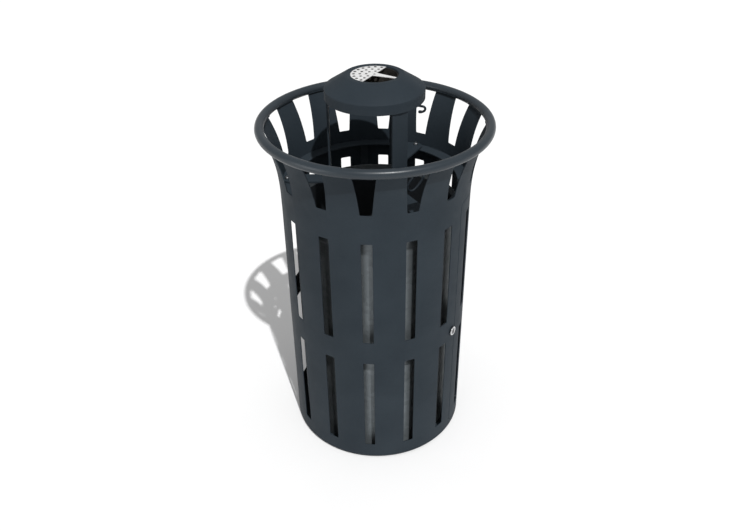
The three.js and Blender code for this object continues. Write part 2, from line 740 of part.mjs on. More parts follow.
function lockCamScrew() {
  const { end, seat, head, headHeight, radius } = CAM_SCREW;
  const headEnd = seat - headHeight;
  return turnedAlongX([
    [0, headEnd], [head, headEnd], [head, seat], [radius, seat], [radius, end], [0, end],
  ], COARSE);
}

// Hinge half: a barrel with a leaf on one side. side is 1 towards the shell, -1
// towards the door; the barrel fills the lower half for the shell.
function hingeHalf(side) {
  const bottom = side > 0 ? -HINGE_HALF : WELD_GAP;
  const top = side > 0 ? -WELD_GAP : HINGE_HALF;
  const bore = HINGE_PIN + HINGE_PLAY;
  const barrel = turned(ringOutline(bore, HINGE_BARREL, bottom, top), 14);
  barrel.translate(HINGE_X, 0, 0);
  const leafX = SHELL_RADIUS + HINGE_LEAF.gap + HINGE_LEAF.sheet / 2;
  const leafY = side * (HINGE_LEAF.gap + HINGE_LEAF.width / 2);
  const leaf = box(HINGE_LEAF.sheet, HINGE_LEAF.width, top - bottom, leafX, leafY, (top + bottom) / 2);
  const hole = rod(bore, bottom - CUT_PAST, top + CUT_PAST, 14).translate(HINGE_X, 0, 0);
  return cut(join(barrel, leaf), [hole]);
}

function hingePin() {
  const end = HINGE_PIN_HEAD.thickness + WELD_GAP;
  const seat = HINGE_HALF + WELD_GAP;
  const side = seat + HINGE_PIN_HEAD.thickness;
  const pin = turned([
    [0, -HINGE_HALF - end], [HINGE_PIN, -HINGE_HALF - end], [HINGE_PIN, seat],
    [HINGE_PIN_HEAD.radius, seat], [HINGE_PIN_HEAD.radius, side], [0, side + HINGE_PIN_HEAD.crown],
  ], COARSE);
  return pin.translate(HINGE_X, 0, 0);
}

// The hook's shank runs outwards under the hood's edge, then bends down and back.
function hoodHook() {
  const shankZ = SKIRT_Z - HOOK_WIRE - WELD_GAP;
  return wire([
    [92, 0, shankZ], [98, 0, shankZ], [105, 0, shankZ], [111, 0, shankZ - 0.2], [114.5, 0, shankZ - 3],
    [113.4, 0, shankZ - 8], [108.5, 0, shankZ - 11.5], [102.5, 0, shankZ - 12.6],
  ], HOOK_WIRE, 20);
}

// Open hook whose near side lies along the edge of the front post.
function legHook() {
  const x = POST_OUTER - BAR_THICKNESS / 2;
  const y = BAR_WIDTH / 2 + HOOK_WIRE + WELD_GAP;
  const bottom = ARM_Z + BAR_THICKNESS + HOOK_WIRE + WELD_GAP;
  return wire([
    [x, y + 12, bottom + 29], [x, y + 3.5, bottom + 20], [x, y, bottom + 11], [x, y + 5, bottom + 1],
    [x, y + 16, bottom], [x, y + 31, bottom + 12], [x, y + 40, bottom + 25],
  ], HOOK_WIRE, 20);
}

addPart('shell_body', shellBody(), COATED);
const rimTube = new THREE.TorusGeometry(RIM_RADIUS, RIM_TUBE, COARSE, RIM_FACETS);
addPart('rim_tube', rimTube, COATED).position.z = RIM_Z;
addPart('ledge_ring', ledgeRing(), COATED);
addPart('base_plate', basePlate(), COATED);
addPart('liner', liner(), GALVANISED);

for (let index = 0; index < FOOT_COUNT; index += 1) {
  const [x, y] = polar(FOOT_CIRCLE, FIRST_FOOT + (index * 360) / FOOT_COUNT);
  addPart(`foot_${index + 1}`, foot(), RUBBER).position.set(x, y, 0);
  addPart(`foot_screw_${index + 1}`, footScrew(), ZINC).position.set(x, y, 0);
}

LEG_ANGLES.forEach((angle, index) => {
  const group = facing(angle);
  addPart(`tripod_leg_${index + 1}`, leg(), COATED, group);
  addPart(`leg_bolt_${index + 1}`, legBolt(), ZINC, group).position.x = BOLT_CIRCLE;
  const boltNut = nut(BOLT_NUT, RING_Z - WELD_GAP - BOLT_NUT.thickness);
  addPart(`leg_nut_${index + 1}`, boltNut, ZINC, group).position.x = BOLT_CIRCLE;
});

addPart('hood', hood(), COATED);
addPart('cup_sleeve', cupSleeve(), COATED);
addPart('ash_cup', ashCup(), POLISHED);
addPart('stub_plate', stubPlate(), POLISHED);
addPart('hood_hook', hoodHook(), COATED, facing(HOOD_HOOK_ANGLE));
addPart('leg_hook', legHook(), COATED, facing(LEG_ANGLES[0]));

addPart('door_panel', doorPanel(), COATED);
const stopBottom = DOORWAY_Z[0] + STOP_HALF_WIDTH;
const stopTop = DOORWAY_Z[1] - STOP_HALF_WIDTH;
addPart('door_stop_upper', doorStop(DOOR_START, LOCK_Z + LOCK_CLEARANCE, stopTop), COATED);
addPart('door_stop_lower', doorStop(DOOR_START, stopBottom, LOCK_Z - LOCK_CLEARANCE), COATED);
addPart('door_stop_hinge', doorStop(DOOR_END, stopBottom, stopTop), COATED);

const lockGroup = facing(LOCK_ANGLE, LOCK_Z);
addPart('lock_housing', lockHousing(), CHROME, lockGroup);
addPart('lock_plug', lockPlug(), CHROME, lockGroup);
addPart('lock_cam', lockCam(), ZINC, lockGroup);
addPart('lock_cam_screw', lockCamScrew(), ZINC, lockGroup);
const lockNut = nut(LOCK_NUT, LOCK_NUT_X).rotateY(Math.PI / 2);
addPart('lock_nut', lockNut, ZINC, lockGroup);
addPart('door_keeper', doorKeeper(), COATED, lockGroup);

HINGE_HEIGHTS.forEach((height, index) => {
  const group = facing(DOOR_END, height);
  addPart(`hinge_shell_half_${index + 1}`, hingeHalf(1), COATED, group);
  addPart(`hinge_door_half_${index + 1}`, hingeHalf(-1), COATED, group);
  addPart(`hinge_pin_${index + 1}`, hingePin(), ZINC, group);
});

export default bin;
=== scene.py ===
"""The looks of a slotted street litter bin with a hooded ashtray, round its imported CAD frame.

Lengths are metres in the CAD frame: +Z up, the origin on the ground on the bin's axis.
An angle of 0 degrees faces -Y, which is the front, and grows towards +X.
"""

import math
import random

import bmesh
import bpy
from mathutils import Matrix, Vector


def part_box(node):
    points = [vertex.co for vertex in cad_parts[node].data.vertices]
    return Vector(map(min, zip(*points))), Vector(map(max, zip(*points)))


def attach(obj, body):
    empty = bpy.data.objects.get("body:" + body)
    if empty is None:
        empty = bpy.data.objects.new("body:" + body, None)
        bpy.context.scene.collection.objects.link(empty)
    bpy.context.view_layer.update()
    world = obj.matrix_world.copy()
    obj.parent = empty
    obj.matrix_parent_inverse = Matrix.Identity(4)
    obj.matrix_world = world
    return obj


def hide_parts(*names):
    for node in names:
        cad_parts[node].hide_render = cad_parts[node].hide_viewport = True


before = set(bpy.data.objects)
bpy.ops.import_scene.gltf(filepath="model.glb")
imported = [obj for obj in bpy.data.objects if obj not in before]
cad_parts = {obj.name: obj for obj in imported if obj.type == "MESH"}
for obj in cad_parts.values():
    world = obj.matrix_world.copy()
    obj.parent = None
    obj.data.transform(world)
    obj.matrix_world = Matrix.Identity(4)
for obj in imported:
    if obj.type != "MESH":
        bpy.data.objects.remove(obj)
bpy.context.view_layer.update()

MM = 0.001

# Slots and tines round the shell: a count, then angles in degrees
SLOTS = 14
PITCH = 360 / SLOTS
FIRST_SLOT = -5.5
SLOT_HALF = 3.3
TINE_GAP_HALF = 6.0


def low(node):
    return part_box(node)[0]


def high(node):
    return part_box(node)[1]


# Shell, rim and slots
SHEET = 2 * MM
SHELL_RADIUS = 210 * MM
SHELL_Z = low("shell_body").z
RIM_TUBE = 10 * MM
RIM_RADIUS = high("rim_tube").x - RIM_TUBE
RIM_Z = (low("rim_tube").z + high("rim_tube").z) / 2
FLARE_HEIGHT = 183.3 * MM
FLARE_Z = RIM_Z - FLARE_HEIGHT
FLARE_REACH = RIM_RADIUS - SHELL_RADIUS
FLARE_POWER = 2.8
SLOT_ROWS = ((44 * MM, 302 * MM), (361 * MM, 618 * MM))
TINE_GAP_Z = 686 * MM
SLOT_CORNER = 1.8 * MM
CORNER_STEPS = (0.0, 0.5 * MM, SLOT_CORNER)
SHEET_EDGE = 0.45 * MM

# Door
DOOR_GAP = 1.4 * MM
DOOR_CORNER = 10 * MM
DOORWAY_Z = (low("door_panel").z - DOOR_GAP, high("door_panel").z + DOOR_GAP)
DOOR_SLOTS = 5
DOOR_START = FIRST_SLOT + 2.5 * PITCH
DOOR_END = DOOR_START + DOOR_SLOTS * PITCH

# Inside the shell
RING_Z = low("ledge_ring").z
RING_TOP = high("ledge_ring").z
RING_INNER = 181 * MM
RING_OUTER = 207.6 * MM
LINER_Z = low("liner").z
LINER_TOP = high("liner").z
LINER_LIP = 2.5 * MM
LINER_RADIUS = high("liner").y - LINER_LIP

# Tripod and hood
LEG_ANGLES = (30, 150, 270)
BAR = 4 * MM
BAR_WIDTH = 36 * MM
ARM_Z = low("tripod_leg_3").z
ARM_END = -low("tripod_leg_3").x
POST_OUTER = 100.6 * MM
BOLT_CIRCLE = 195 * MM
HOOD_RADIUS = high("hood").x
SKIRT_Z = low("hood").z
HOOD_TOP = high("hood").z
FOLD_Z = SKIRT_Z + 21.5 * MM
HOOD_TOP_RADIUS = 61.5 * MM
HOOD_OPENING = 50 * MM
TONGUE_ANGLE = 62.5
PLATE_RADIUS = 49.4 * MM
PLATE_START = 150
PLATE_Z = low("stub_plate").z
PLATE_TOP = high("stub_plate").z

# Lock and hinges
LOCK_ANGLE = 55.5
LOCK_Z = (low("lock_housing").z + high("lock_housing").z) / 2
LOCK_FACE = 11 * MM
HINGE_X = 218 * MM
HINGE_BARREL = 6.5 * MM
HINGE_HALF = 30 * MM
HINGE_GAP = 0.3 * MM
LEAF_START = 0.6 * MM
LEAF_END = 22.6 * MM

random.seed(11)


def polar(radius, angle):
    turn = math.radians(angle)
    return radius * math.sin(turn), -radius * math.cos(turn)


def facing(angle, height=0.0):
    """Places local +X outwards at an angle round the bin."""
    return Matrix.Translation((0, 0, height)) @ Matrix.Rotation(math.radians(angle - 90), 4, "Z")


# ---- materials


class Nodes:
    """Small helper that adds shader nodes and links them."""

    def __init__(self, name):
        self.material = bpy.data.materials.new(name)
        self.material.use_nodes = True
        self.tree = self.material.node_tree
        self.tree.nodes.clear()
        self.shader = self.add("ShaderNodeBsdfPrincipled")
        output = self.add("ShaderNodeOutputMaterial")
        self.link(self.shader.outputs["BSDF"], output.inputs["Surface"])
        self.place = self.add("ShaderNodeTexCoord").outputs["Object"]

    def add(self, kind, **settings):
        node = self.tree.nodes.new(kind)
        for key, value in settings.items():
            setattr(node, key, value)
        return node

    def link(self, source, target):
        self.tree.links.new(source, target)

    def feed(self, socket, value):
        """Links an output to a socket, or gives the socket a constant."""
        if isinstance(value, bpy.types.NodeSocket):
            self.link(value, socket)
        else:
            socket.default_value = value

    def noise(self, scale, detail=3.0, roughness=0.5, stretch=(1, 1, 1)):
        mapping = self.add("ShaderNodeMapping")
        mapping.inputs["Scale"].default_value = stretch
        self.link(self.place, mapping.inputs["Vector"])
        node = self.add("ShaderNodeTexNoise")
        node.inputs["Scale"].default_value = scale
        node.inputs["Detail"].default_value = detail
        node.inputs["Roughness"].default_value = roughness
        self.link(mapping.outputs["Vector"], node.inputs["Vector"])
        return node.outputs["Fac"]

    def ramp(self, source, stops):
        node = self.add("ShaderNodeValToRGB")
        elements = node.color_ramp.elements
        while len(elements) < len(stops):
            elements.new(0.5)
        for element, (position, colour) in zip(elements, stops):
            element.position = position
            element.color = (*colour, 1) if isinstance(colour, tuple) else (colour, colour, colour, 1)
        self.link(source, node.inputs["Fac"])
        return node.outputs["Color"]

    def patches(self, scale, detail, first, second, ends=(0.3, 0.7)):
        """Noise that goes from one colour or value to another."""
        return self.ramp(self.noise(scale, detail), [(ends[0], first), (ends[1], second)])

    def mix(self, factor, first, second, mode="MIX"):
        node = self.add("ShaderNodeMix", data_type="RGBA", blend_type=mode)
        colour_a, colour_b = node.inputs[6], node.inputs[7]
        for socket, value in ((node.inputs["Factor"], factor), (colour_a, first), (colour_b, second)):
            self.feed(socket, (*value, 1) if isinstance(value, tuple) else value)
        return node.outputs[2]

    def bump(self, height, strength, distance, below=None):
        node = self.add("ShaderNodeBump")
        node.inputs["Strength"].default_value = strength
        node.inputs["Distance"].default_value = distance
        self.link(height, node.inputs["Height"])
        if below is not None:
            self.link(below, node.inputs["Normal"])
        return node.outputs["Normal"]

    def set(self, **values):
        for key, value in values.items():
            self.feed(self.shader.inputs[key.replace("_", " ")], value)


def powder_coat(name, roughness, specular):
    """Anthracite powder coat: fine orange peel, slight changes of tone and a painted highlight on the edges.
    """
    nodes = Nodes(name)
    dark, light = (0.0195, 0.0270, 0.0345), (0.0255, 0.0345, 0.0430)
    tone = nodes.patches(9, 4, dark, light)
    grain = nodes.patches(1400, 2, 0.86, 1.14, (0.35, 0.65))
    coloured = nodes.mix(1.0, tone, grain, "MULTIPLY")
    # Painted highlight: edges found by pointiness are lightened towards a paler grey.
    edges = nodes.add("ShaderNodeNewGeometry").outputs["Pointiness"]
    edge_highlight = nodes.ramp(edges, [(0.53, 0.0), (0.62, 0.35)])
    colour = nodes.mix(edge_highlight, coloured, (0.060, 0.072, 0.082))
    rough = nodes.patches(35, 3, roughness - 0.04, roughness + 0.04)
    peel = nodes.bump(nodes.noise(520, 2), 0.22, 0.0004)
    fine = nodes.bump(nodes.noise(1600, 2), 0.12, 0.0002, peel)
    nodes.set(Base_Color=colour, Roughness=rough, Normal=fine, Specular_IOR_Level=specular)
    return nodes.material


def galvanised():
    """Rolled galvanised sheet: a faint spangle, an upright sheen, and painted shade that darkens the inside
    of the wall.
    """
    nodes = Nodes("galvanised")
    cells = nodes.add("ShaderNodeTexVoronoi")
    cells.inputs["Scale"].default_value = 90
    nodes.link(nodes.place, cells.inputs["Vector"])
    flake = nodes.add("ShaderNodeSeparateColor")
    nodes.link(cells.outputs["Color"], flake.inputs["Color"])
    dark, light = (0.160, 0.180, 0.192), (0.200, 0.222, 0.235)
    spangle = nodes.ramp(flake.outputs["Red"], [(0.0, dark), (1.0, light)])
    cloud = nodes.patches(14, 4, 0.88, 1.04)
    clean = nodes.mix(1.0, spangle, cloud, "MULTIPLY")
    # Painted shade: the inside of the liner's wall gets a darker grey.
    colour = nodes.mix(inside_shade_mask(nodes), clean, (0.040, 0.046, 0.052))
    roughness = nodes.ramp(flake.outputs["Green"], [(0.0, 0.52), (1.0, 0.60)])
    tangent = nodes.add("ShaderNodeTangent", direction_type="RADIAL", axis="Z").outputs["Tangent"]
    relief = nodes.bump(nodes.noise(260, 3), 0.10, 0.0002)
    nodes.set(Base_Color=colour, Roughness=roughness, Normal=relief, Metallic=0.85, Specular_IOR_Level=0.2)
    nodes.set(Tangent=tangent, Anisotropic=0.75, Anisotropic_Rotation=0.25)
    return nodes.material


def inside_shade_mask(nodes):
    """Mask for the painted shade: 1 on the inside of the liner's wall and 0 on its outside, from the distance
    to the axis.
    """
    flat = nodes.add("ShaderNodeVectorMath", operation="MULTIPLY")
    nodes.link(nodes.place, flat.inputs[0])
    flat.inputs[1].default_value = (1, 1, 0)
    reach = nodes.add("ShaderNodeVectorMath", operation="LENGTH")
    nodes.link(flat.outputs["Vector"], reach.inputs[0])
    within = nodes.add("ShaderNodeMath", operation="LESS_THAN")
    nodes.link(reach.outputs["Value"], within.inputs[0])
    within.inputs[1].default_value = LINER_RADIUS - 0.8 * MM
    return within.outputs["Value"]


def bright_metal(name, colour, roughness, smudge, grain, relief, metallic=1.0):
    """Bare or plated metal with fine directional grain and faint smudges.

    grain holds the scale of the grain and its stretch along x, y and z.
    """
    nodes = Nodes(name)
    scale, stretch = grain
    darker = tuple(0.86 * channel for channel in colour)
    tone = nodes.ramp(nodes.noise(scale, 3, 0.6, stretch), [(0.3, darker), (0.7, colour)])
    rough = nodes.patches(60, 4, roughness, roughness + smudge, (0.3, 0.75))
    lines = nodes.bump(nodes.noise(scale, 2, 0.6, stretch), relief, 0.0001)
    nodes.set(Base_Color=tone, Roughness=rough, Metallic=metallic, Normal=lines)
    return nodes.material


def soot_and_shade_steel():
    """Stainless steel under uneven patches of ash and tar; the same dark colour in the lock's keyway is
    painted shade.
    """
    nodes = Nodes("soot_and_shade_steel")
    dark, light = (0.010, 0.009, 0.008), (0.045, 0.040, 0.034)
    stain = nodes.ramp(nodes.noise(90, 6, 0.65), [(0.35, dark), (0.7, light)])
    rough = nodes.patches(140, 4, 0.65, 0.9)
    nodes.set(Base_Color=stain, Roughness=rough, Metallic=0.2)
    nodes.set(Normal=nodes.bump(nodes.noise(400, 5), 0.5, 0.0006))
    return nodes.material


def weld_coat():
    """Rippled powder coat for weld beads and bent wire; its tone, darker than the rest of the coat, is
    painted shade.
    """
    nodes = Nodes("weld_coat")
    dark, light = (0.011, 0.016, 0.021), (0.020, 0.027, 0.034)
    # Painted shade: a darker tone than the powder coat, for the beads and the hooks.
    tone = nodes.patches(300, 4, dark, light)
    ripple = nodes.bump(nodes.noise(420, 3, 0.6), 0.6, 0.0008)
    rough = nodes.patches(80, 3, 0.42, 0.56)
    nodes.set(Base_Color=tone, Roughness=rough, Normal=ripple, Specular_IOR_Level=0.15)
    return nodes.material


def black_rubber():
    """Dull moulded rubber with a fine grain."""
    nodes = Nodes("black_rubber")
    dark, light = (0.012, 0.012, 0.012), (0.028, 0.027, 0.026)
    tone = nodes.patches(120, 4, dark, light)
    rough = nodes.patches(90, 3, 0.72, 0.9)
    nodes.set(Base_Color=tone, Roughness=rough, Normal=nodes.bump(nodes.noise(900, 3), 0.3, 0.0003))
    return nodes.material


COAT = powder_coat("powder_coat", 0.60, 0.10)
RIM_COAT = powder_coat("rim_powder_coat", 0.34, 0.34)
WELD = weld_coat()
GALVANISED = galvanised()
BRUSHED = (900, (1, 0.06, 1))
DRAWN = (500, (1, 1, 0.3))
EVEN = (700, (1, 1, 1))
POLISHED = bright_metal("polished_stainless", (0.95, 0.95, 0.945), 0.34, 0.12, BRUSHED, 0.06, 0.4)
ZINC = bright_metal("zinc_plate", (0.26, 0.27, 0.28), 0.38, 0.16, DRAWN, 0.12)
CHROME = bright_metal("chrome_plate", (0.70, 0.71, 0.72), 0.10, 0.08, EVEN, 0.02)
# Dark nickel: the lock plug's own metal, and painted shade on the lock housing's sides.
NICKEL_AND_SHADE = bright_metal("nickel_and_shade", (0.20, 0.205, 0.21), 0.22, 0.12, EVEN, 0.04)
# Real ash and tar in the ash cup and stub holes; in the lock's keyway this dark colour is painted shade.
SOOT_AND_SHADE = soot_and_shade_steel()
RUBBER = black_rubber()


# ---- mesh helpers


def add_object(name, data):
    thing = bpy.data.objects.new(name, data)
    bpy.context.scene.collection.objects.link(thing)
    return thing


def shade(mesh, sharp=35):
    """Smooth shading, with creases where faces meet at more than the sharp angle."""
    mesh.shade_smooth()
    mesh.set_sharp_from_angle(angle=math.radians(sharp))


def new_piece(name, points, faces, material, matrix=None):
    mesh = bpy.data.meshes.new(name)
    mesh.from_pydata([tuple(p) for p in points], [], faces)
    if matrix is not None:
        mesh.transform(matrix)
    mesh.validate()
    mesh.materials.append(material)
    shade(mesh)
    return add_object(name, mesh)


def turn_outwards(mesh, weld_gap=0.0):
    """Joins points within weld_gap, then turns every face of a closed mesh outwards."""
    shape = bmesh.new()
    shape.from_mesh(mesh)
    if weld_gap:
        bmesh.ops.remove_doubles(shape, verts=shape.verts, dist=weld_gap)
    bmesh.ops.recalc_face_normals(shape, faces=shape.faces)
    shape.to_mesh(mesh)
    shape.free()


def recolour(piece, material, wanted):
    """Gives a second material to the faces that a test picks out."""
    piece.data.materials.append(material)
    for face in piece.data.polygons:
        if wanted(face):
            face.material_index = 1


def strip_faces(stations):
    """Faces of a closed bar that has four points at each station."""
    faces = [(0, 1, 2, 3)]
    for order in range(stations - 1):
        a = 4 * order
        for step in range(4):
            after = (step + 1) % 4
            faces.append((a + step, a + 4 + step, a + 4 + after, a + after))
    last = 4 * (stations - 1)
    faces.append((last + 3, last + 2, last + 1, last))
    return faces


def round_edges(piece, width, angle=40):
    modifier = piece.modifiers.new("round_edges", "BEVEL")
    modifier.width = width
    modifier.segments = 2
    modifier.limit_method = "ANGLE"
    modifier.angle_limit = math.radians(angle)
    modifier.harden_normals = True


def place_piece(piece, body, slot, *nodes):
    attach(piece, body)
    if nodes:
        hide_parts(*nodes)


def lathe(name, outline, material, segments=128, closed=True, matrix=None, flats=None):
    """Turns an outline of (radius, height) points about the upright axis.

    An open outline starts and ends on the axis. flats lists the outline points that
    follow a hexagon instead of a circle, where the radius is half the width across flats.
    """
    points = []
    rings = []
    for order, (radius, height) in enumerate(outline):
        if radius == 0:
            rings.append([len(points)])
            points.append((0, 0, height))
            continue
        ring = []
        for step in range(segments):
            turn = 2 * math.pi * step / segments
            reach = radius
            if flats and order in flats:
                sixth = math.pi / 3
                reach = radius / math.cos((turn % sixth) - sixth / 2)
            ring.append(len(points))
            points.append((reach * math.sin(turn), -reach * math.cos(turn), height))
        rings.append(ring)
    pairs = list(zip(rings, rings[1:]))
    if closed:
        pairs.append((rings[-1], rings[0]))
    faces = []
    for first, second in pairs:
        for step in range(segments):
            after = (step + 1) % segments
            if len(first) == 1:
                faces.append((first[0], second[after], second[step]))
            elif len(second) == 1:
                faces.append((first[step], first[after], second[0]))
            else:
                faces.append((first[step], first[after], second[after], second[step]))
    return new_piece(name, points, faces, material, matrix)


def arc(centre_r, centre_z, radius, start, end, steps=6):
    """Points on an arc in the (radius, height) plane, angles in degrees."""
    found = []
    for step in range(steps + 1):
        turn = math.radians(start + (end - start) * step / steps)
        found.append((centre_r + radius * math.cos(turn), centre_z + radius * math.sin(turn)))
    return found


def corner_drop(distance, radius):
    """How far a round corner falls back at a distance from the corner's side."""
    inset = max(0.0, radius - distance)
    return radius - math.sqrt(radius * radius - inset * inset)


def grid_sheet(name, columns, rows, closed, faces_at, is_open):
    """Closed sheet on a grid. faces_at(column, row) gives its outer and inner points."""
    points = []
    for column in range(columns):
        for row in range(rows):
            points.extend(faces_at(column, row))
    cells = columns if closed else columns - 1

    def solid(column, row):
        if row < 0 or row >= rows - 1:
            return False
        if not closed and (column < 0 or column >= cells):
            return False
        return not is_open(column % cells, row)

    def outer(column, row):
        return 2 * ((column % columns) * rows + row)

    faces = []
    for column in range(cells):
        right = column + 1
        for row in range(rows - 1):
            above = row + 1
            if not solid(column, row):
                continue
            front = [outer(column, row), outer(right, row), outer(right, above), outer(column, above)]
            back = [point + 1 for point in front]
            faces.append(tuple(front))
            faces.append(tuple(back[::-1]))
            if not solid(column, row - 1):
                faces.append((back[0], back[1], front[1], front[0]))
            if not solid(column, above):
                faces.append((front[3], front[2], back[2], back[3]))
            if not solid(column - 1, row):
                faces.append((back[0], front[0], front[3], back[3]))
            if not solid(right, row):
                faces.append((front[1], back[1], back[2], front[2]))
    used = sorted({point for face in faces for point in face})
    renumbered = {point: order for order, point in enumerate(used)}
    kept = [points[point] for point in used]
    return new_piece(name, kept, [[renumbered[p] for p in face] for face in faces], COAT)


def rod_along(name, route, radius, sides, ball=0.0):
    """Weld bead or wire along a list of points, with domed ends; ball swells the far end."""
    points = []
    rings = []
    previous = None
    route = [Vector(p) for p in route]
    for order, point in enumerate(route):
        ahead = route[min(order + 1, len(route) - 1)] - route[max(order - 1, 0)]
        ahead.normalize()
        if previous is None:
            side = ahead.orthogonal().normalized()
        else:
            side = (previous - ahead * previous.dot(ahead)).normalized()
        previous = side
        other = ahead.cross(side)
        left = (point - route[-1]).length / (2 * radius)
        swell = ball * math.sqrt(max(0.0, 1 - left * left))
        rings.append((point, ahead, side, other, radius * (1 + swell)))
    start = dome_rings(rings[0], -1, radius)
    end = dome_rings(rings[-1], 1, rings[-1][4])
    rings = start[::-1] + rings + end
    for centre, _, side, other, size in rings:
        for step in range(sides):
            turn = 2 * math.pi * step / sides
            points.append(centre + side * size * math.cos(turn) + other * size * math.sin(turn))
    faces = []
    for ring in range(len(rings) - 1):
        for step in range(sides):
            after = (step + 1) % sides
            a = ring * sides
            faces.append((a + step, a + after, a + sides + after, a + sides + step))
    faces.append(tuple(range(sides))[::-1])
    top = (len(rings) - 1) * sides
    faces.append(tuple(top + step for step in range(sides)))
    return new_piece(name, points, faces, WELD)


def dome_rings(ring, way, radius):
    """Shrinking rings that close the end of a rod, forwards (1) or backwards (-1)."""
    centre, ahead, side, other, _ = ring
    found = []
    for angle in (25, 50, 72):
        turn = math.radians(angle)
        shifted = centre + ahead * (way * radius * math.sin(turn))
        found.append((shifted, ahead, side, other, radius * math.cos(turn)))
    return found


def smooth_route(points, steps=8):
    """Catmull-Rom curve through the points."""
    points = [Vector(p) for p in points]
    padded = [2 * points[0] - points[1], *points, 2 * points[-1] - points[-2]]
    route = []
    for a, b, c, d in zip(padded, padded[1:], padded[2:], padded[3:]):
        for step in range(steps):
            t = step / steps
            route.append(0.5 * (2 * b + (c - a) * t + (2 * a - 5 * b + 4 * c - d) * t * t
                                + (3 * b - a - 3 * c + d) * t ** 3))
    route.append(points[-1])
    return route


def join_pieces(name, pieces):
    """Joins several new meshes into one piece."""
    joined = bmesh.new()
    for piece in pieces:
        joined.from_mesh(piece.data)
    material = pieces[0].data.materials[0]
    mesh = bpy.data.meshes.new(name)
    joined.to_mesh(mesh)
    joined.free()
    mesh.materials.append(material)
    for piece in pieces:
        bpy.data.objects.remove(piece)
    return add_object(name, mesh)


def carve(piece, tool):
    """Cuts a tool mesh out of a piece for good."""
    modifier = piece.modifiers.new("carve", "BOOLEAN")
    modifier.object = tool
    modifier.solver = "EXACT"
    depsgraph = bpy.context.evaluated_depsgraph_get()
    carved = bpy.data.meshes.new_from_object(piece.evaluated_get(depsgraph))
    piece.modifiers.remove(modifier)
    piece.data = carved
    bpy.data.objects.remove(tool)
    shade(carved)


def block(name, size, centre, material, matrix=None):
    x, y, z = (0.5 * side for side in size)
    corners = [(sx * x + centre[0], sy * y + centre[1], sz * z + centre[2])
               for sx in (-1, 1) for sy in (-1, 1) for sz in (-1, 1)]
    faces = [(0, 1, 3, 2), (4, 6, 7, 5), (0, 4, 5, 1), (2, 3, 7, 6), (0, 2, 6, 4), (1, 5, 7, 3)]
    return new_piece(name, corners, faces, material, matrix)


# ---- shell and rim


def sheet_points(angle, height):
    """Outer and inner point of the rolled sheet."""
    climb = max(0.0, (height - FLARE_Z) / FLARE_HEIGHT)
    slope = FLARE_REACH * FLARE_POWER * climb ** (FLARE_POWER - 1) / FLARE_HEIGHT
    length = math.hypot(1, slope)
    radius = SHELL_RADIUS + FLARE_REACH * climb ** FLARE_POWER
    inner_radius = radius - SHEET / length
    inner_height = height + SHEET * slope / length
    return (*polar(radius, angle), height), (*polar(inner_radius, angle), inner_height)


def slot_half(height):
    climb = max(0.0, (height - TINE_GAP_Z) / (RIM_Z - TINE_GAP_Z))
    return SLOT_HALF + (TINE_GAP_HALF - SLOT_HALF) * climb


def slot_columns(centre):
    """Column lines across one slot: (angle at a height, distance from the slot's side)."""
    lines = []
    for side in (-1, 1):
        for step in CORNER_STEPS:
            turn = math.degrees(step / SHELL_RADIUS)
            lines.append((lambda z, s=side, t=turn: centre + s * (slot_half(z) - t), step))
    lines.append((lambda z: centre, 1.0))
    return lines


def band_columns(middle):
    """Column lines across the band between two slots, without the slots' own sides."""
    lines = []
    steps = 8
    for order in range(1, steps):
        share = 2 * order / steps - 1
        lines.append((lambda z, s=share: middle + s * (PITCH / 2 - slot_half(z)), None))
    return lines


def side_columns(start, end, steps):
    """Column lines at steps inwards from both upright sides of the door or its doorway."""
    lines = []
    for step in steps:
        turn = math.degrees(step / SHELL_RADIUS)
        lines.append((lambda z, t=turn: start + t, None))
        lines.append((lambda z, t=turn: end - t, None))
    return lines


def rolled_sheet(name, lines, heights, doorway, is_shell):
    """Slotted sheet: the shell goes all round with its doorway left open, and the door fills it.

    lines holds the column lines, heights the (height, kind of row) pairs from the bottom up,
    and doorway the start, the end and the corner radius of the doorway or of the door.
    """
    lines = sorted(lines, key=lambda line: line[0](0))
    start, end, corner = doorway
    tolerance = 0.01 * MM

    def faces_at(column, row):
        height, kind = heights[row]
        angle_at, slot_distance = lines[column]
        z = height
        if slot_distance is not None and kind in ("slot_start", "slot_end"):
            drop = corner_drop(slot_distance, SLOT_CORNER)
            z += drop if kind == "slot_start" else -drop
        if kind in ("door_bottom", "door_top"):
            turn = min(angle_at(height) - start, end - angle_at(height))
            distance = math.radians(turn) * SHELL_RADIUS
            if distance > -tolerance:
                drop = corner_drop(max(0.0, distance), corner)
                z += drop if kind == "door_bottom" else -drop
        return sheet_points(angle_at(z), z)

    def is_open(column, row):
        middle = (heights[row][0] + heights[row + 1][0]) / 2
        after = lines[(column + 1) % len(lines)]
        wrap = 360 if column + 1 == len(lines) else 0
        angle = (lines[column][0](0) + after[0](0) + wrap) / 2
        in_doorway = start < angle < end and DOORWAY_Z[0] < middle < DOORWAY_Z[1]
        in_row = any(bottom < middle < top for bottom, top in SLOT_ROWS) or middle > TINE_GAP_Z
        in_slot = lines[column][1] is not None and after[1] is not None and in_row
        return in_slot or (is_shell and in_doorway)

    sheet = grid_sheet(name, len(lines), len(heights), is_shell, faces_at, is_open)
    round_edges(sheet, SHEET_EDGE)
    return sheet


def slot_heights():
    """Rows of points up the two rows of slots."""
    heights = []
    for bottom, top in SLOT_ROWS:
        heights.append((bottom, "slot_start"))
        for share in (1 / 3, 2 / 3):
            heights.append((bottom + share * (top - bottom), "plain"))
        heights.append((top, "slot_end"))
    return heights


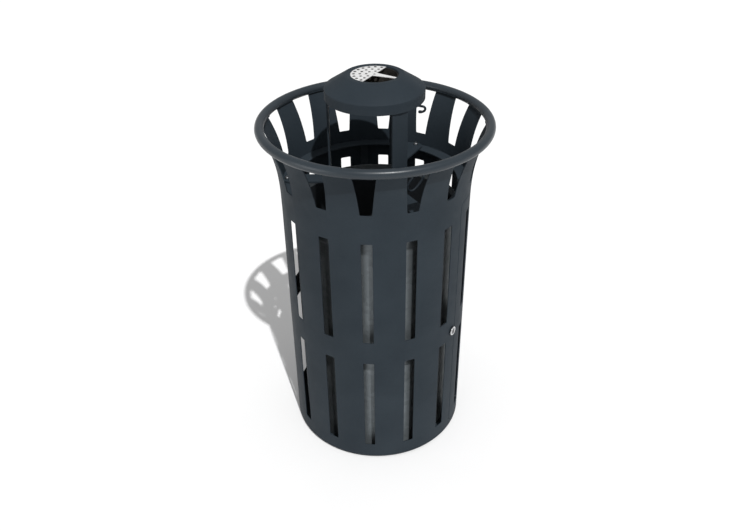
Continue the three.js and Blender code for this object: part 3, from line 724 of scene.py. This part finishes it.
def make_shell():
    lines = side_columns(DOOR_START, DOOR_END, (1 * MM, 2.5 * MM, 5.5 * MM, DOOR_CORNER))
    for slot in range(SLOTS):
        centre = FIRST_SLOT + slot * PITCH
        lines += slot_columns(centre)
        lines += band_columns(centre + PITCH / 2)
    below_corner = 638 * MM
    above_doorway = 670 * MM
    heights = [(SHELL_Z, "plain"), (DOORWAY_Z[0], "door_bottom"), *slot_heights()]
    heights += [(below_corner, "plain"), (DOORWAY_Z[1], "door_top"), (above_doorway, "plain")]
    heights.append((TINE_GAP_Z, "slot_start"))
    tine_tip = RIM_Z - 0.45 * RIM_TUBE
    steps = 18
    for order in range(1, steps + 1):
        heights.append((TINE_GAP_Z + (tine_tip - TINE_GAP_Z) * order / steps, "plain"))
    shell = rolled_sheet("shell_skin", lines, heights, (DOOR_START, DOOR_END, DOOR_CORNER), True)
    place_piece(shell, "root", "coated_steel", "shell_body")


def make_door():
    gap = math.degrees(DOOR_GAP / SHELL_RADIUS)
    start = DOOR_START + gap
    end = DOOR_END - gap
    corner = DOOR_CORNER - DOOR_GAP
    border = (0, 0.8 * MM, 2 * MM, 4.5 * MM, corner, 15 * MM, 23 * MM, 29 * MM)
    lines = side_columns(start, end, border)
    for slot in range(DOOR_SLOTS):
        middle = DOOR_START + slot * PITCH
        lines += slot_columns(middle + PITCH / 2)
        if slot > 0:
            lines += band_columns(middle)
    below_corner = 636 * MM
    heights = [(DOORWAY_Z[0] + DOOR_GAP, "door_bottom"), *slot_heights()]
    heights += [(below_corner, "plain"), (DOORWAY_Z[1] - DOOR_GAP, "door_top")]
    door = rolled_sheet("door_skin", lines, heights, (start, end, corner), False)
    place_piece(door, "door", "coated_steel", "door_panel")


def make_rim():
    outline = arc(RIM_RADIUS, RIM_Z, RIM_TUBE, 0, 345, 23)
    rim = lathe("rim_ring", outline, RIM_COAT, 180)
    place_piece(rim, "root", "coated_steel", "rim_tube")


def bead(start, end, radius, height, size):
    """Weld bead along an arc round the bin, rippled along its length."""
    steps_per_degree = 2.2
    steps = max(6, int(abs(end - start) * steps_per_degree))
    route = []
    for step in range(steps + 1):
        angle = start + (end - start) * step / steps
        ripple = size * 0.12 * random.uniform(-1, 1)
        route.append((*polar(radius + ripple, angle), height + ripple))
    return rod_along("bead", route, size, 8)


def make_welds():
    """Beads in front of and behind every tine's tip, stitches on the ring, and beads in the hood."""
    beads = []
    size = 1.5 * MM
    inset = TINE_GAP_HALF + 0.15
    for slot in range(SLOTS):
        centre = FIRST_SLOT + slot * PITCH
        start, end = centre + inset, centre + PITCH - inset
        beads.append(bead(start, end, RIM_RADIUS - 4.6 * MM, RIM_Z - 8.6 * MM, size))
        beads.append(bead(start, end, RIM_RADIUS - 8.9 * MM, RIM_Z - 4.6 * MM, size))
    place_piece(join_pieces("rim_welds", beads), "root", "coated_steel")
    stitches = []
    size = 1.4 * MM
    half = 4
    for slot in range(SLOTS):
        middle = FIRST_SLOT + (slot + 0.5) * PITCH
        radius = RING_OUTER - 0.2 * MM
        stitches.append(bead(middle - half, middle + half, radius, RING_TOP + 0.3 * MM, size))
    place_piece(join_pieces("ring_welds", stitches), "root", "coated_steel")
    ends = []
    size = 1.3 * MM
    half = math.degrees(math.asin(BAR_WIDTH / 2 / POST_OUTER))
    for angle in LEG_ANGLES:
        radius = POST_OUTER + 1.2 * MM
        ends.append(bead(angle - half, angle + half, radius, SKIRT_Z + 1.2 * MM, size))
    place_piece(join_pieces("hood_welds", ends), "root", "coated_steel")


# ---- inside the shell


def make_ring():
    edge = 0.4 * MM
    outline = [
        (RING_INNER + edge, RING_Z), (RING_OUTER - edge, RING_Z), (RING_OUTER, RING_Z + edge),
        (RING_OUTER, RING_TOP - edge), (RING_OUTER - edge, RING_TOP), (RING_INNER + edge, RING_TOP),
        (RING_INNER, RING_TOP - edge), (RING_INNER, RING_Z + edge),
    ]
    ring = lathe("ledge_ring_skin", outline, COAT, 128)
    place_piece(ring, "root", "coated_steel", "ledge_ring")


def make_liner():
    wall = 1.2 * MM
    band = LINER_TOP - 19 * MM
    lip = LINER_LIP
    r = LINER_RADIUS
    outline = [
        (0, LINER_Z), *arc(r - 5 * MM, LINER_Z + 5 * MM, 5 * MM, -90, 0, 6),
        (r, band), (r + 0.4 * MM, band + 1.6 * MM), (r + lip - 0.4 * MM, band + 3.4 * MM),
        (r + lip, band + 5 * MM), (r + lip, LINER_TOP - 1.4 * MM),
        *arc(r + lip - 1 * MM, LINER_TOP - 1 * MM, 1 * MM, 0, 180, 6)[1:],
        (r + lip - 2 * MM, band + 5.5 * MM), (r - wall + 0.5 * MM, band + 2 * MM), (r - wall, band),
        *arc(r - 5 * MM, LINER_Z + 5 * MM, 5 * MM - wall, 0, -90, 6), (0, LINER_Z + wall),
    ]
    liner = lathe("liner_skin", outline, GALVANISED, 144, closed=False)
    grip_height = 28 * MM
    grip_length = 90 * MM
    grip_z = 548 * MM
    half = grip_length / 2 - grip_height / 2
    ends = arc(half, 0, grip_height / 2, -90, 90, 10) + arc(-half, 0, grip_height / 2, 90, 270, 10)
    count = len(ends)
    points = [(x, y, grip_z + z) for x in (-0.3, 0.3) for y, z in ends]
    faces = [tuple(range(count))[::-1], tuple(range(count, 2 * count))]
    for step in range(count):
        after = (step + 1) % count
        faces.append((step, after, count + after, count + step))
    carve(liner, new_piece("grip_tool", points, faces, GALVANISED))
    place_piece(liner, "liner_body", "galvanised_steel", "liner")


# ---- tripod and hood


def bent_bar(name, angle):
    """Flat bar: an arm with a round end, a bend, and an upright post."""
    middle_bend = 3 * MM + BAR / 2
    arm_z = ARM_Z + BAR / 2
    post_x = POST_OUTER - BAR / 2
    post_top = high("tripod_leg_3").z
    half = BAR_WIDTH / 2
    stations = []
    tip_half = 1.2 * MM
    for step in range(13):
        turn = math.radians(90 * step / 12)
        width = max(tip_half, half * math.sin(turn))
        stations.append((ARM_END - half * (1 - math.cos(turn)), arm_z, 0.0, 1.0, width))
    stations.append((130 * MM, arm_z, 0.0, 1.0, half))
    centre = (post_x + middle_bend, arm_z + middle_bend)
    for step in range(9):
        turn = math.radians(-90 - 90 * step / 8)
        direction = (math.cos(turn), math.sin(turn))
        stations.append((centre[0] + middle_bend * direction[0], centre[1] + middle_bend * direction[1],
                         -direction[0], -direction[1], half))
    for share in (0.35, 0.7, 1.0):
        stations.append((post_x, centre[1] + share * (post_top - centre[1]), 1.0, 0.0, half))
    points = []
    for x, z, normal_x, normal_z, width in stations:
        for side, face in ((-1, -1), (1, -1), (1, 1), (-1, 1)):
            shift = face * BAR / 2
            points.append((x + normal_x * shift, side * width, z + normal_z * shift))
    bar = new_piece(name, points, strip_faces(len(stations)), COAT, facing(angle))
    turn_outwards(bar.data)
    round_edges(bar, 0.5 * MM, 50)
    return bar


def socket_screw(name, matrix, head, height, shank, bottom, seat):
    """Domed screw with a hexagon socket; it stands on its seat, with its shank below."""
    socket = 0.42 * head
    outline = [
        (0, bottom), (shank - 0.5 * MM, bottom), (shank, bottom + 0.5 * MM), (shank, seat),
        (head - 0.3 * MM, seat), (head, seat + 0.3 * MM), (head, seat + 0.35 * height),
        *arc(0.45 * head, seat + 0.35 * height, 0.55 * head, 0, 60, 5)[1:],
        (0.62 * head, seat + height), (socket + 0.3 * MM, seat + height), (socket, seat + height - 0.3 * MM),
        (socket, seat + 0.35 * height), (0, seat + 0.3 * height),
    ]
    outline = [(min(r, head), min(z, seat + height)) for r, z in outline]
    flats = {len(outline) - 4, len(outline) - 3, len(outline) - 2}
    return lathe(name, outline, ZINC, 48, closed=False, matrix=matrix, flats=flats)


def hex_nut(name, matrix, across, hole, bottom, thickness):
    """Hexagon nut with chamfered corners."""
    half = across / 2
    top = bottom + thickness
    edge = 0.6 * MM
    outline = [
        (hole + edge, bottom), (half * 0.97, bottom), (half, bottom + edge), (half, top - edge),
        (half * 0.97, top), (hole + edge, top), (hole, top - edge), (hole, bottom + edge),
    ]
    return lathe(name, outline, ZINC, 48, matrix=matrix, flats={2, 3})


def make_tripod():
    for order, angle in enumerate(LEG_ANGLES, 1):
        place_piece(bent_bar(f"tripod_bar_{order}", angle), "root", "coated_steel", f"tripod_leg_{order}")
        matrix = facing(angle) @ Matrix.Translation((BOLT_CIRCLE, 0, 0))
        bottom = low("leg_bolt_1").z
        bolt = socket_screw(f"arm_bolt_{order}", matrix, 5.5 * MM, 3.6 * MM, 3 * MM, bottom, ARM_Z + BAR)
        place_piece(bolt, "root", "zinc_steel", f"leg_bolt_{order}")
        nut = hex_nut(f"arm_nut_{order}", matrix, 10 * MM, 3 * MM, low("leg_nut_1").z, 5.3 * MM)
        place_piece(nut, "root", "zinc_steel", f"leg_nut_{order}")


def make_hood():
    sheet = 2 * MM
    slope = math.degrees(math.atan2(HOOD_TOP - FOLD_Z, HOOD_RADIUS - HOOD_TOP_RADIUS))
    inside = HOOD_RADIUS - sheet
    under = HOOD_TOP - sheet
    fold = 3 * MM
    crown = 9 * MM
    fold_drop = fold * math.tan(math.radians(90 - slope) / 2)
    crown_run = crown * math.tan(math.radians(slope) / 2)
    lip = 0.9 * MM
    outline = [
        (inside + 0.3 * MM, SKIRT_Z), (HOOD_RADIUS - 0.3 * MM, SKIRT_Z), (HOOD_RADIUS, SKIRT_Z + 0.3 * MM),
        *arc(HOOD_RADIUS - fold, FOLD_Z - fold_drop, fold, 0, 90 - slope, 6),
        *arc(HOOD_TOP_RADIUS - crown_run, HOOD_TOP - crown, crown, 90 - slope, 90, 7),
        *arc(HOOD_OPENING + lip, HOOD_TOP - lip, lip, 90, 180, 4),
        (HOOD_OPENING, under + 0.3 * MM), (HOOD_OPENING + 0.3 * MM, under),
        (HOOD_TOP_RADIUS - 0.6 * MM, under), (inside, FOLD_Z - 1.1 * MM), (inside, SKIRT_Z + 0.3 * MM),
    ]
    hood = lathe("hood_skin", outline, COAT, 144)
    place_piece(hood, "root", "coated_steel", "hood")
    sleeve_low = low("cup_sleeve").z
    sleeve_top = high("cup_sleeve").z + 1.2 * MM
    sleeve_outer = high("cup_sleeve").x
    sleeve_inner = sleeve_outer - 1.8 * MM
    sleeve = lathe("cup_sleeve_skin", [
        (38 * MM, sleeve_low), (sleeve_outer - 0.5 * MM, sleeve_low), (sleeve_outer, sleeve_low + 0.5 * MM),
        (sleeve_outer, sleeve_top), (sleeve_inner, sleeve_top), (sleeve_inner, sleeve_low + 1.8 * MM),
        (38 * MM, sleeve_low + 1.8 * MM),
    ], COAT, 96)
    place_piece(sleeve, "root", "coated_steel", "cup_sleeve")


def make_cup():
    bottom = low("ash_cup").z
    top = high("ash_cup").z
    outer = high("ash_cup").x
    wall = 1.2 * MM
    cup = lathe("ash_cup_skin", [
        (0, bottom), *arc(outer - 3 * MM, bottom + 3 * MM, 3 * MM, -90, 0, 5),
        (outer, top - 0.4 * MM), (outer - 0.4 * MM, top), (outer - wall + 0.3 * MM, top),
        (outer - wall, top - 0.3 * MM), *arc(outer - 3 * MM, bottom + 3 * MM, 3 * MM - wall, 0, -90, 5),
        (0, bottom + wall),
    ], SOOT_AND_SHADE, 96, closed=False)
    place_piece(cup, "ash_insert", "stainless_steel", "ash_cup")


def circle_points(centre, radius, count):
    return [(centre[0] + radius * math.cos(2 * math.pi * k / count),
             centre[1] + radius * math.sin(2 * math.pi * k / count)) for k in range(count)]


def flat_plate(name, outline, holes, bottom, top, edge, material):
    """Plate with bevelled holes, from a filled 2D curve."""
    curve = bpy.data.curves.new(name, "CURVE")
    curve.dimensions = "2D"
    curve.fill_mode = "BOTH"
    curve.extrude = (top - bottom) / 2 - edge
    curve.bevel_depth = edge
    curve.bevel_resolution = 1
    curve.offset = -edge
    for loop in [outline, *holes]:
        spline = curve.splines.new("POLY")
        spline.points.add(len(loop) - 1)
        for point, (x, y) in zip(spline.points, loop):
            point.co = (x, y, 0, 1)
        spline.use_cyclic_u = True
    helper = add_object(name, curve)
    bpy.context.view_layer.update()
    mesh = bpy.data.meshes.new_from_object(helper.evaluated_get(bpy.context.evaluated_depsgraph_get()))
    bpy.data.objects.remove(helper)
    mesh.transform(Matrix.Translation((0, 0, (bottom + top) / 2)))
    mesh.materials.clear()
    mesh.materials.append(material)
    turn_outwards(mesh, 0.001 * MM)
    shade(mesh, 30)
    return add_object(name, mesh)


def make_stub_plate():
    """Half disc with rings of stub holes, and a tongue that tapers towards the edge."""
    steps = 60
    outline = [polar(PLATE_RADIUS, PLATE_START + 180 * step / steps) for step in range(steps + 1)]
    root = 8 * MM
    tip_half = 3
    outline.append(polar(root, PLATE_START + 180))
    outline.append(polar(PLATE_RADIUS, TONGUE_ANGLE - tip_half))
    outline.append(polar(PLATE_RADIUS, TONGUE_ANGLE + tip_half))
    outline.append(polar(root, PLATE_START))
    holes = []
    for radius, count, size in ((0, 1, 2.4), (17, 4, 2.8), (30, 7, 3.0), (43, 10, 3.2)):
        for order in range(count):
            centre = polar(radius * MM, PLATE_START + (order + 0.5) * 180 / count)
            holes.append(circle_points(centre, size * MM, 20))
    plate = flat_plate("stub_plate_skin", outline, holes, PLATE_Z, PLATE_TOP, 0.12 * MM, POLISHED)
    blacken_holes(plate, holes)
    place_piece(plate, "ash_insert", "stainless_steel", "stub_plate")


def blacken_holes(plate, holes):
    """The walls of the stub holes are black with soot."""
    centres = [(sum(x for x, _ in hole) / len(hole), sum(y for _, y in hole) / len(hole)) for hole in holes]
    reach = 3.5 * MM

    def in_hole(face):
        x, y, _ = face.center
        return abs(face.normal.z) < 0.9 and any(math.hypot(x - cx, y - cy) < reach for cx, cy in centres)

    recolour(plate, SOOT_AND_SHADE, in_hole)


def make_hooks():
    """Bent wire hooks: one under the hood's edge, one on the edge of the front post."""
    wire_radius = 2.5 * MM
    shank = SKIRT_Z - wire_radius - 0.1 * MM
    hood_steps = ((92, 0), (98, 0), (105, 0), (111, -0.2),
                  (114.5, -3), (113.4, -8), (108.5, -11.5), (102.5, -12.6))
    hood_route = [(x * MM, 0, shank + z * MM) for x, z in hood_steps]
    post = POST_OUTER - BAR / 2
    edge = BAR_WIDTH / 2 + wire_radius + 0.2 * MM
    base = ARM_Z + BAR + wire_radius + 0.3 * MM
    leg_steps = ((12, 29), (3.5, 20), (0, 11), (5, 1), (16, 0), (31, 12), (40, 25))
    leg_route = [(post, edge + y * MM, base + z * MM) for y, z in leg_steps]
    for name, node, angle, route in (("hood_hook_wire", "hood_hook", TONGUE_ANGLE, hood_route),
                                     ("leg_hook_wire", "leg_hook", LEG_ANGLES[0], leg_route)):
        wire = rod_along(name, smooth_route(route), wire_radius, 16, ball=0.3)
        wire.data.transform(facing(angle))
        place_piece(wire, "root", "coated_steel", node)


# ---- lock and hinges


def along_x(angle, height):
    """Turns a lathe's upright axis outwards at an angle round the bin."""
    return facing(angle, height) @ Matrix.Rotation(math.radians(90), 4, "Y")


def make_lock():
    axis = along_x(LOCK_ANGLE, LOCK_Z)
    seat = SHELL_RADIUS + 0.2 * MM
    face = SHELL_RADIUS + 4.3 * MM
    bore = 6.9 * MM
    barrel = 9 * MM
    barrel_end = 198 * MM
    housing = lathe("lock_housing_skin", [
        (bore, barrel_end), (barrel, barrel_end), (barrel, seat), (LOCK_FACE - 0.2 * MM, seat),
        (LOCK_FACE, seat + 0.3 * MM), (LOCK_FACE, face - 1.6 * MM),
        *arc(LOCK_FACE - 1.4 * MM, face - 1.4 * MM, 1.4 * MM, 0, 90, 6),
        (bore + 0.6 * MM, face), (bore, face - 0.6 * MM),
    ], CHROME, 64, matrix=axis)
    # Painted shade: the housing's sides take the dark nickel, a dark ring round the bright chrome face.
    outward = facing(LOCK_ANGLE).to_3x3() @ Vector((1, 0, 0))
    recolour(housing, NICKEL_AND_SHADE, lambda side: abs(side.normal.dot(outward)) < 0.6)
    place_piece(housing, "root", "chrome", "lock_housing")
    front = SHELL_RADIUS + 3.6 * MM
    plug_radius = 6.5 * MM
    neck = 194.5 * MM
    back = 197.4 * MM
    plug = lathe("lock_plug_skin", [
        (0, neck), (3.9 * MM, neck), (3.9 * MM, back), (plug_radius, back),
        (plug_radius, front - 0.6 * MM), (plug_radius - 0.6 * MM, front), (0, front),
    ], NICKEL_AND_SHADE, 64, closed=False, matrix=axis)
    keyway = (6 * MM, 3.2 * MM, 8.8 * MM)
    slot = block("keyway_tool", keyway, (front - 1.6 * MM, 0, 0), SOOT_AND_SHADE, facing(LOCK_ANGLE, LOCK_Z))
    carve(plug, slot)
    blacken_keyway(plug, keyway, front)
    place_piece(plug, "lock", "chrome", "lock_plug")
    nut = hex_nut("lock_nut_skin", axis, 22 * MM, 9.1 * MM, 202 * MM, 5.4 * MM)
    place_piece(nut, "root", "zinc_steel", "lock_nut")
    flip = axis @ Matrix.Rotation(math.radians(180), 4, "X")
    screw = socket_screw("cam_screw_skin", flip, 5 * MM, 2.5 * MM, 1.6 * MM, -202 * MM, -193.8 * MM)
    place_piece(screw, "lock", "zinc_steel", "lock_cam_screw")


def blacken_keyway(plug, keyway, front):
    """The walls and the floor of the keyway get the dark soot colour: painted shade."""
    to_lock = facing(LOCK_ANGLE, LOCK_Z).inverted()
    margin = 0.05 * MM

    def in_keyway(face):
        spot = to_lock @ face.center
        across = abs(spot.y) < keyway[1] / 2 + margin
        upright = abs(spot.z) < keyway[2] / 2 + margin
        return across and upright and front - keyway[0] < spot.x < front - margin

    recolour(plug, SOOT_AND_SHADE, in_keyway)


def make_hinges():
    for order in (1, 2):
        middle = (high(f"hinge_shell_half_{order}").z + low(f"hinge_door_half_{order}").z) / 2
        for side, node, body in ((1, "hinge_shell_half", "root"), (-1, "hinge_door_half", "door")):
            bottom = middle - HINGE_HALF if side > 0 else middle + HINGE_GAP
            top = middle - HINGE_GAP if side > 0 else middle + HINGE_HALF
            axis = facing(DOOR_END) @ Matrix.Translation((HINGE_X, 0, 0))
            edge = 0.5 * MM
            bore = 3.2 * MM
            barrel = lathe("barrel", [
                (bore, bottom), (HINGE_BARREL - edge, bottom), (HINGE_BARREL, bottom + edge),
                (HINGE_BARREL, top - edge), (HINGE_BARREL - edge, top), (bore, top),
            ], COAT, 48, matrix=axis)
            leaf = hinge_leaf(side, bottom, top)
            joined = join_pieces(f"{node}_skin_{order}", [barrel, leaf])
            shade(joined.data)
            place_piece(joined, body, "coated_steel", f"{node}_{order}")
            weld = leaf_weld(side, bottom, top, f"{node}_weld_{order}")
            place_piece(weld, body, "coated_steel")
        pin_axis = facing(DOOR_END) @ Matrix.Translation((HINGE_X, 0, middle))
        pin = lathe(f"hinge_pin_skin_{order}", [
            (0, -HINGE_HALF - 2 * MM), (2.4 * MM, -HINGE_HALF - 2 * MM), (3 * MM, -HINGE_HALF - 1.4 * MM),
            (3 * MM, HINGE_HALF + 0.2 * MM), (5 * MM, HINGE_HALF + 0.2 * MM), (5 * MM, HINGE_HALF + 1.5 * MM),
            *arc(3.4 * MM, HINGE_HALF + 1.5 * MM, 1.5 * MM, 0, 90, 4)[1:], (0, HINGE_HALF + 3 * MM),
        ], ZINC, 32, closed=False, matrix=pin_axis)
        place_piece(pin, "root", "zinc_steel", f"hinge_pin_{order}")


def hinge_leaf(side, bottom, top):
    """Curved leaf on the outside of the wall, with a raised edge next to the barrel."""
    inner = SHELL_RADIUS + 0.05 * MM
    outer = inner + 2.2 * MM
    steps = 8
    start = math.degrees(LEAF_START / SHELL_RADIUS)
    end = math.degrees(LEAF_END / SHELL_RADIUS)
    points = []
    for step in range(steps + 1):
        angle = DOOR_END + side * (start + (end - start) * step / steps)
        reach = outer + (2.6 * MM * (1 - step / 1.5) if step < 1.5 else 0)
        for radius, z in ((inner, bottom), (reach, bottom), (reach, top), (inner, top)):
            points.append((*polar(radius, angle), z))
    leaf = new_piece("leaf", points, strip_faces(steps + 1), COAT)
    turn_outwards(leaf.data)
    return leaf


def leaf_weld(side, bottom, top, name):
    """Rippled weld bead up the far edge of a leaf."""
    angle = DOOR_END + side * math.degrees((LEAF_END + 0.2 * MM) / SHELL_RADIUS)
    route = []
    steps = 14
    for step in range(steps + 1):
        ripple = 0.2 * MM * random.uniform(-1, 1)
        z = bottom + 1 * MM + (top - bottom - 2 * MM) * step / steps
        route.append((*polar(SHELL_RADIUS + 0.7 * MM + ripple, angle), z))
    return rod_along(name, route, 1.4 * MM, 10)


# ---- feet and rest


def make_feet():
    for order in range(1, 5):
        middle = (low(f"foot_{order}") + high(f"foot_{order}")) / 2
        matrix = Matrix.Translation((middle.x, middle.y, 0))
        top = high(f"foot_{order}").z + 0.3 * MM
        foot = lathe(f"foot_pad_{order}", [
            (3.5 * MM, 5 * MM), (7 * MM, 5 * MM), (7.5 * MM, 4.5 * MM), (7.5 * MM, 0.4 * MM), (7.9 * MM, 0),
            *arc(16 * MM, 2 * MM, 2 * MM, -90, 0, 5), (18 * MM, 6 * MM), (17.4 * MM, 7 * MM),
            (17.4 * MM, 8 * MM), (18 * MM, 9 * MM), (18 * MM, top), (3.5 * MM, top),
        ], RUBBER, 64, matrix=matrix)
        place_piece(foot, "root", "rubber", f"foot_{order}")
        flip = matrix @ Matrix.Rotation(math.radians(180), 4, "X")
        screw = socket_screw(f"foot_screw_skin_{order}", flip, 6.2 * MM, 3.2 * MM, 3 * MM,
                             -12.6 * MM, -4.7 * MM)
        place_piece(screw, "root", "zinc_steel", f"foot_screw_{order}")


def finish_cad_nodes():
    """CAD nodes whose shape is right keep it, with rounded edges and a real finish."""
    finishes = {"lock_cam": (ZINC, 0.3 * MM)}
    for name in ("base_plate", "door_keeper", "door_stop_upper", "door_stop_lower", "door_stop_hinge"):
        finishes[name] = (COAT, 0.4 * MM)
    for name, (material, edge) in finishes.items():
        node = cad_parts[name]
        if not node.material_slots:
            node.data.materials.append(material)
        for slot in node.material_slots:
            slot.material = material
        round_edges(node, edge, 50)


# ---- camera and staging


def make_camera():
    """Camera at the photo's angle, a little above and in front of the bin."""
    elevation = 33.81
    roll = -0.67
    distance = 8.6136 * SHELL_RADIUS
    aim = Vector((-0.0162 * SHELL_RADIUS, 0, 2 * SHELL_RADIUS + SHELL_Z))
    rise = math.radians(elevation)
    back = Vector((0, -math.cos(rise), math.sin(rise)))
    up = Vector((0, math.sin(rise), math.cos(rise)))
    right = Vector((1, 0, 0))
    aim += 0.009 * SHELL_RADIUS * up
    turn = math.radians(roll)
    level_right = right * math.cos(turn) + up * math.sin(turn)
    level_up = up * math.cos(turn) - right * math.sin(turn)
    camera_data = bpy.data.cameras.new("camera")
    camera_data.sensor_width = 36
    camera_data.lens = 36.46
    camera_data.clip_end = 50
    camera = add_object("camera", camera_data)
    rotation = Matrix((level_right, level_up, back)).transposed().to_4x4()
    camera.matrix_world = Matrix.Translation(aim + back * distance) @ rotation
    bpy.context.scene.camera = camera


def make_stage():
    size = 14
    nodes = Nodes("floor_white")
    tone = nodes.patches(3, 3, 0.86, 0.875)
    nodes.set(Base_Color=tone, Roughness=0.85, Specular_IOR_Level=0.0)
    corners = [(-size, -size, 0), (size, -size, 0), (size, size, 0), (-size, size, 0)]
    floor = new_piece("floor", corners, [(0, 1, 2, 3)], nodes.material)
    sun_data = bpy.data.lights.new("sun", "SUN")
    sun_data.energy = 2.9
    sun_data.angle = math.radians(0.9)
    sun = add_object("sun", sun_data)
    towards = Vector((0.18, -0.54, 0.82)).normalized()
    sun.rotation_euler = towards.to_track_quat("Z", "Y").to_euler()
    soft_box("left_box", (-2.6, -1.6, 1.1), (1.6, 1.8), 24)
    world = bpy.data.worlds.new("studio")
    world.use_nodes = True
    background = world.node_tree.nodes["Background"]
    background.inputs["Color"].default_value = (1, 1, 1, 1)
    background.inputs["Strength"].default_value = 0.48
    bpy.context.scene.world = world
    bpy.context.scene.view_settings.view_transform = "Standard"


def soft_box(name, place, size, power):
    """Large soft light that points at the middle of the bin and only shows in its sheen."""
    data = bpy.data.lights.new(name, "AREA")
    data.shape = "RECTANGLE"
    data.size, data.size_y = size
    data.energy = power
    light = add_object(name, data)
    aim = Vector(place) - Vector((0, 0, 0.5))
    light.matrix_world = Matrix.Translation(place) @ aim.to_track_quat("Z", "Y").to_matrix().to_4x4()
    light.visible_diffuse = False


make_camera()
make_stage()
make_shell()
make_door()
make_rim()
make_welds()
make_ring()
make_liner()
make_tripod()
make_hood()
make_cup()
make_stub_plate()
make_hooks()
make_lock()
make_hinges()
make_feet()
finish_cad_nodes()
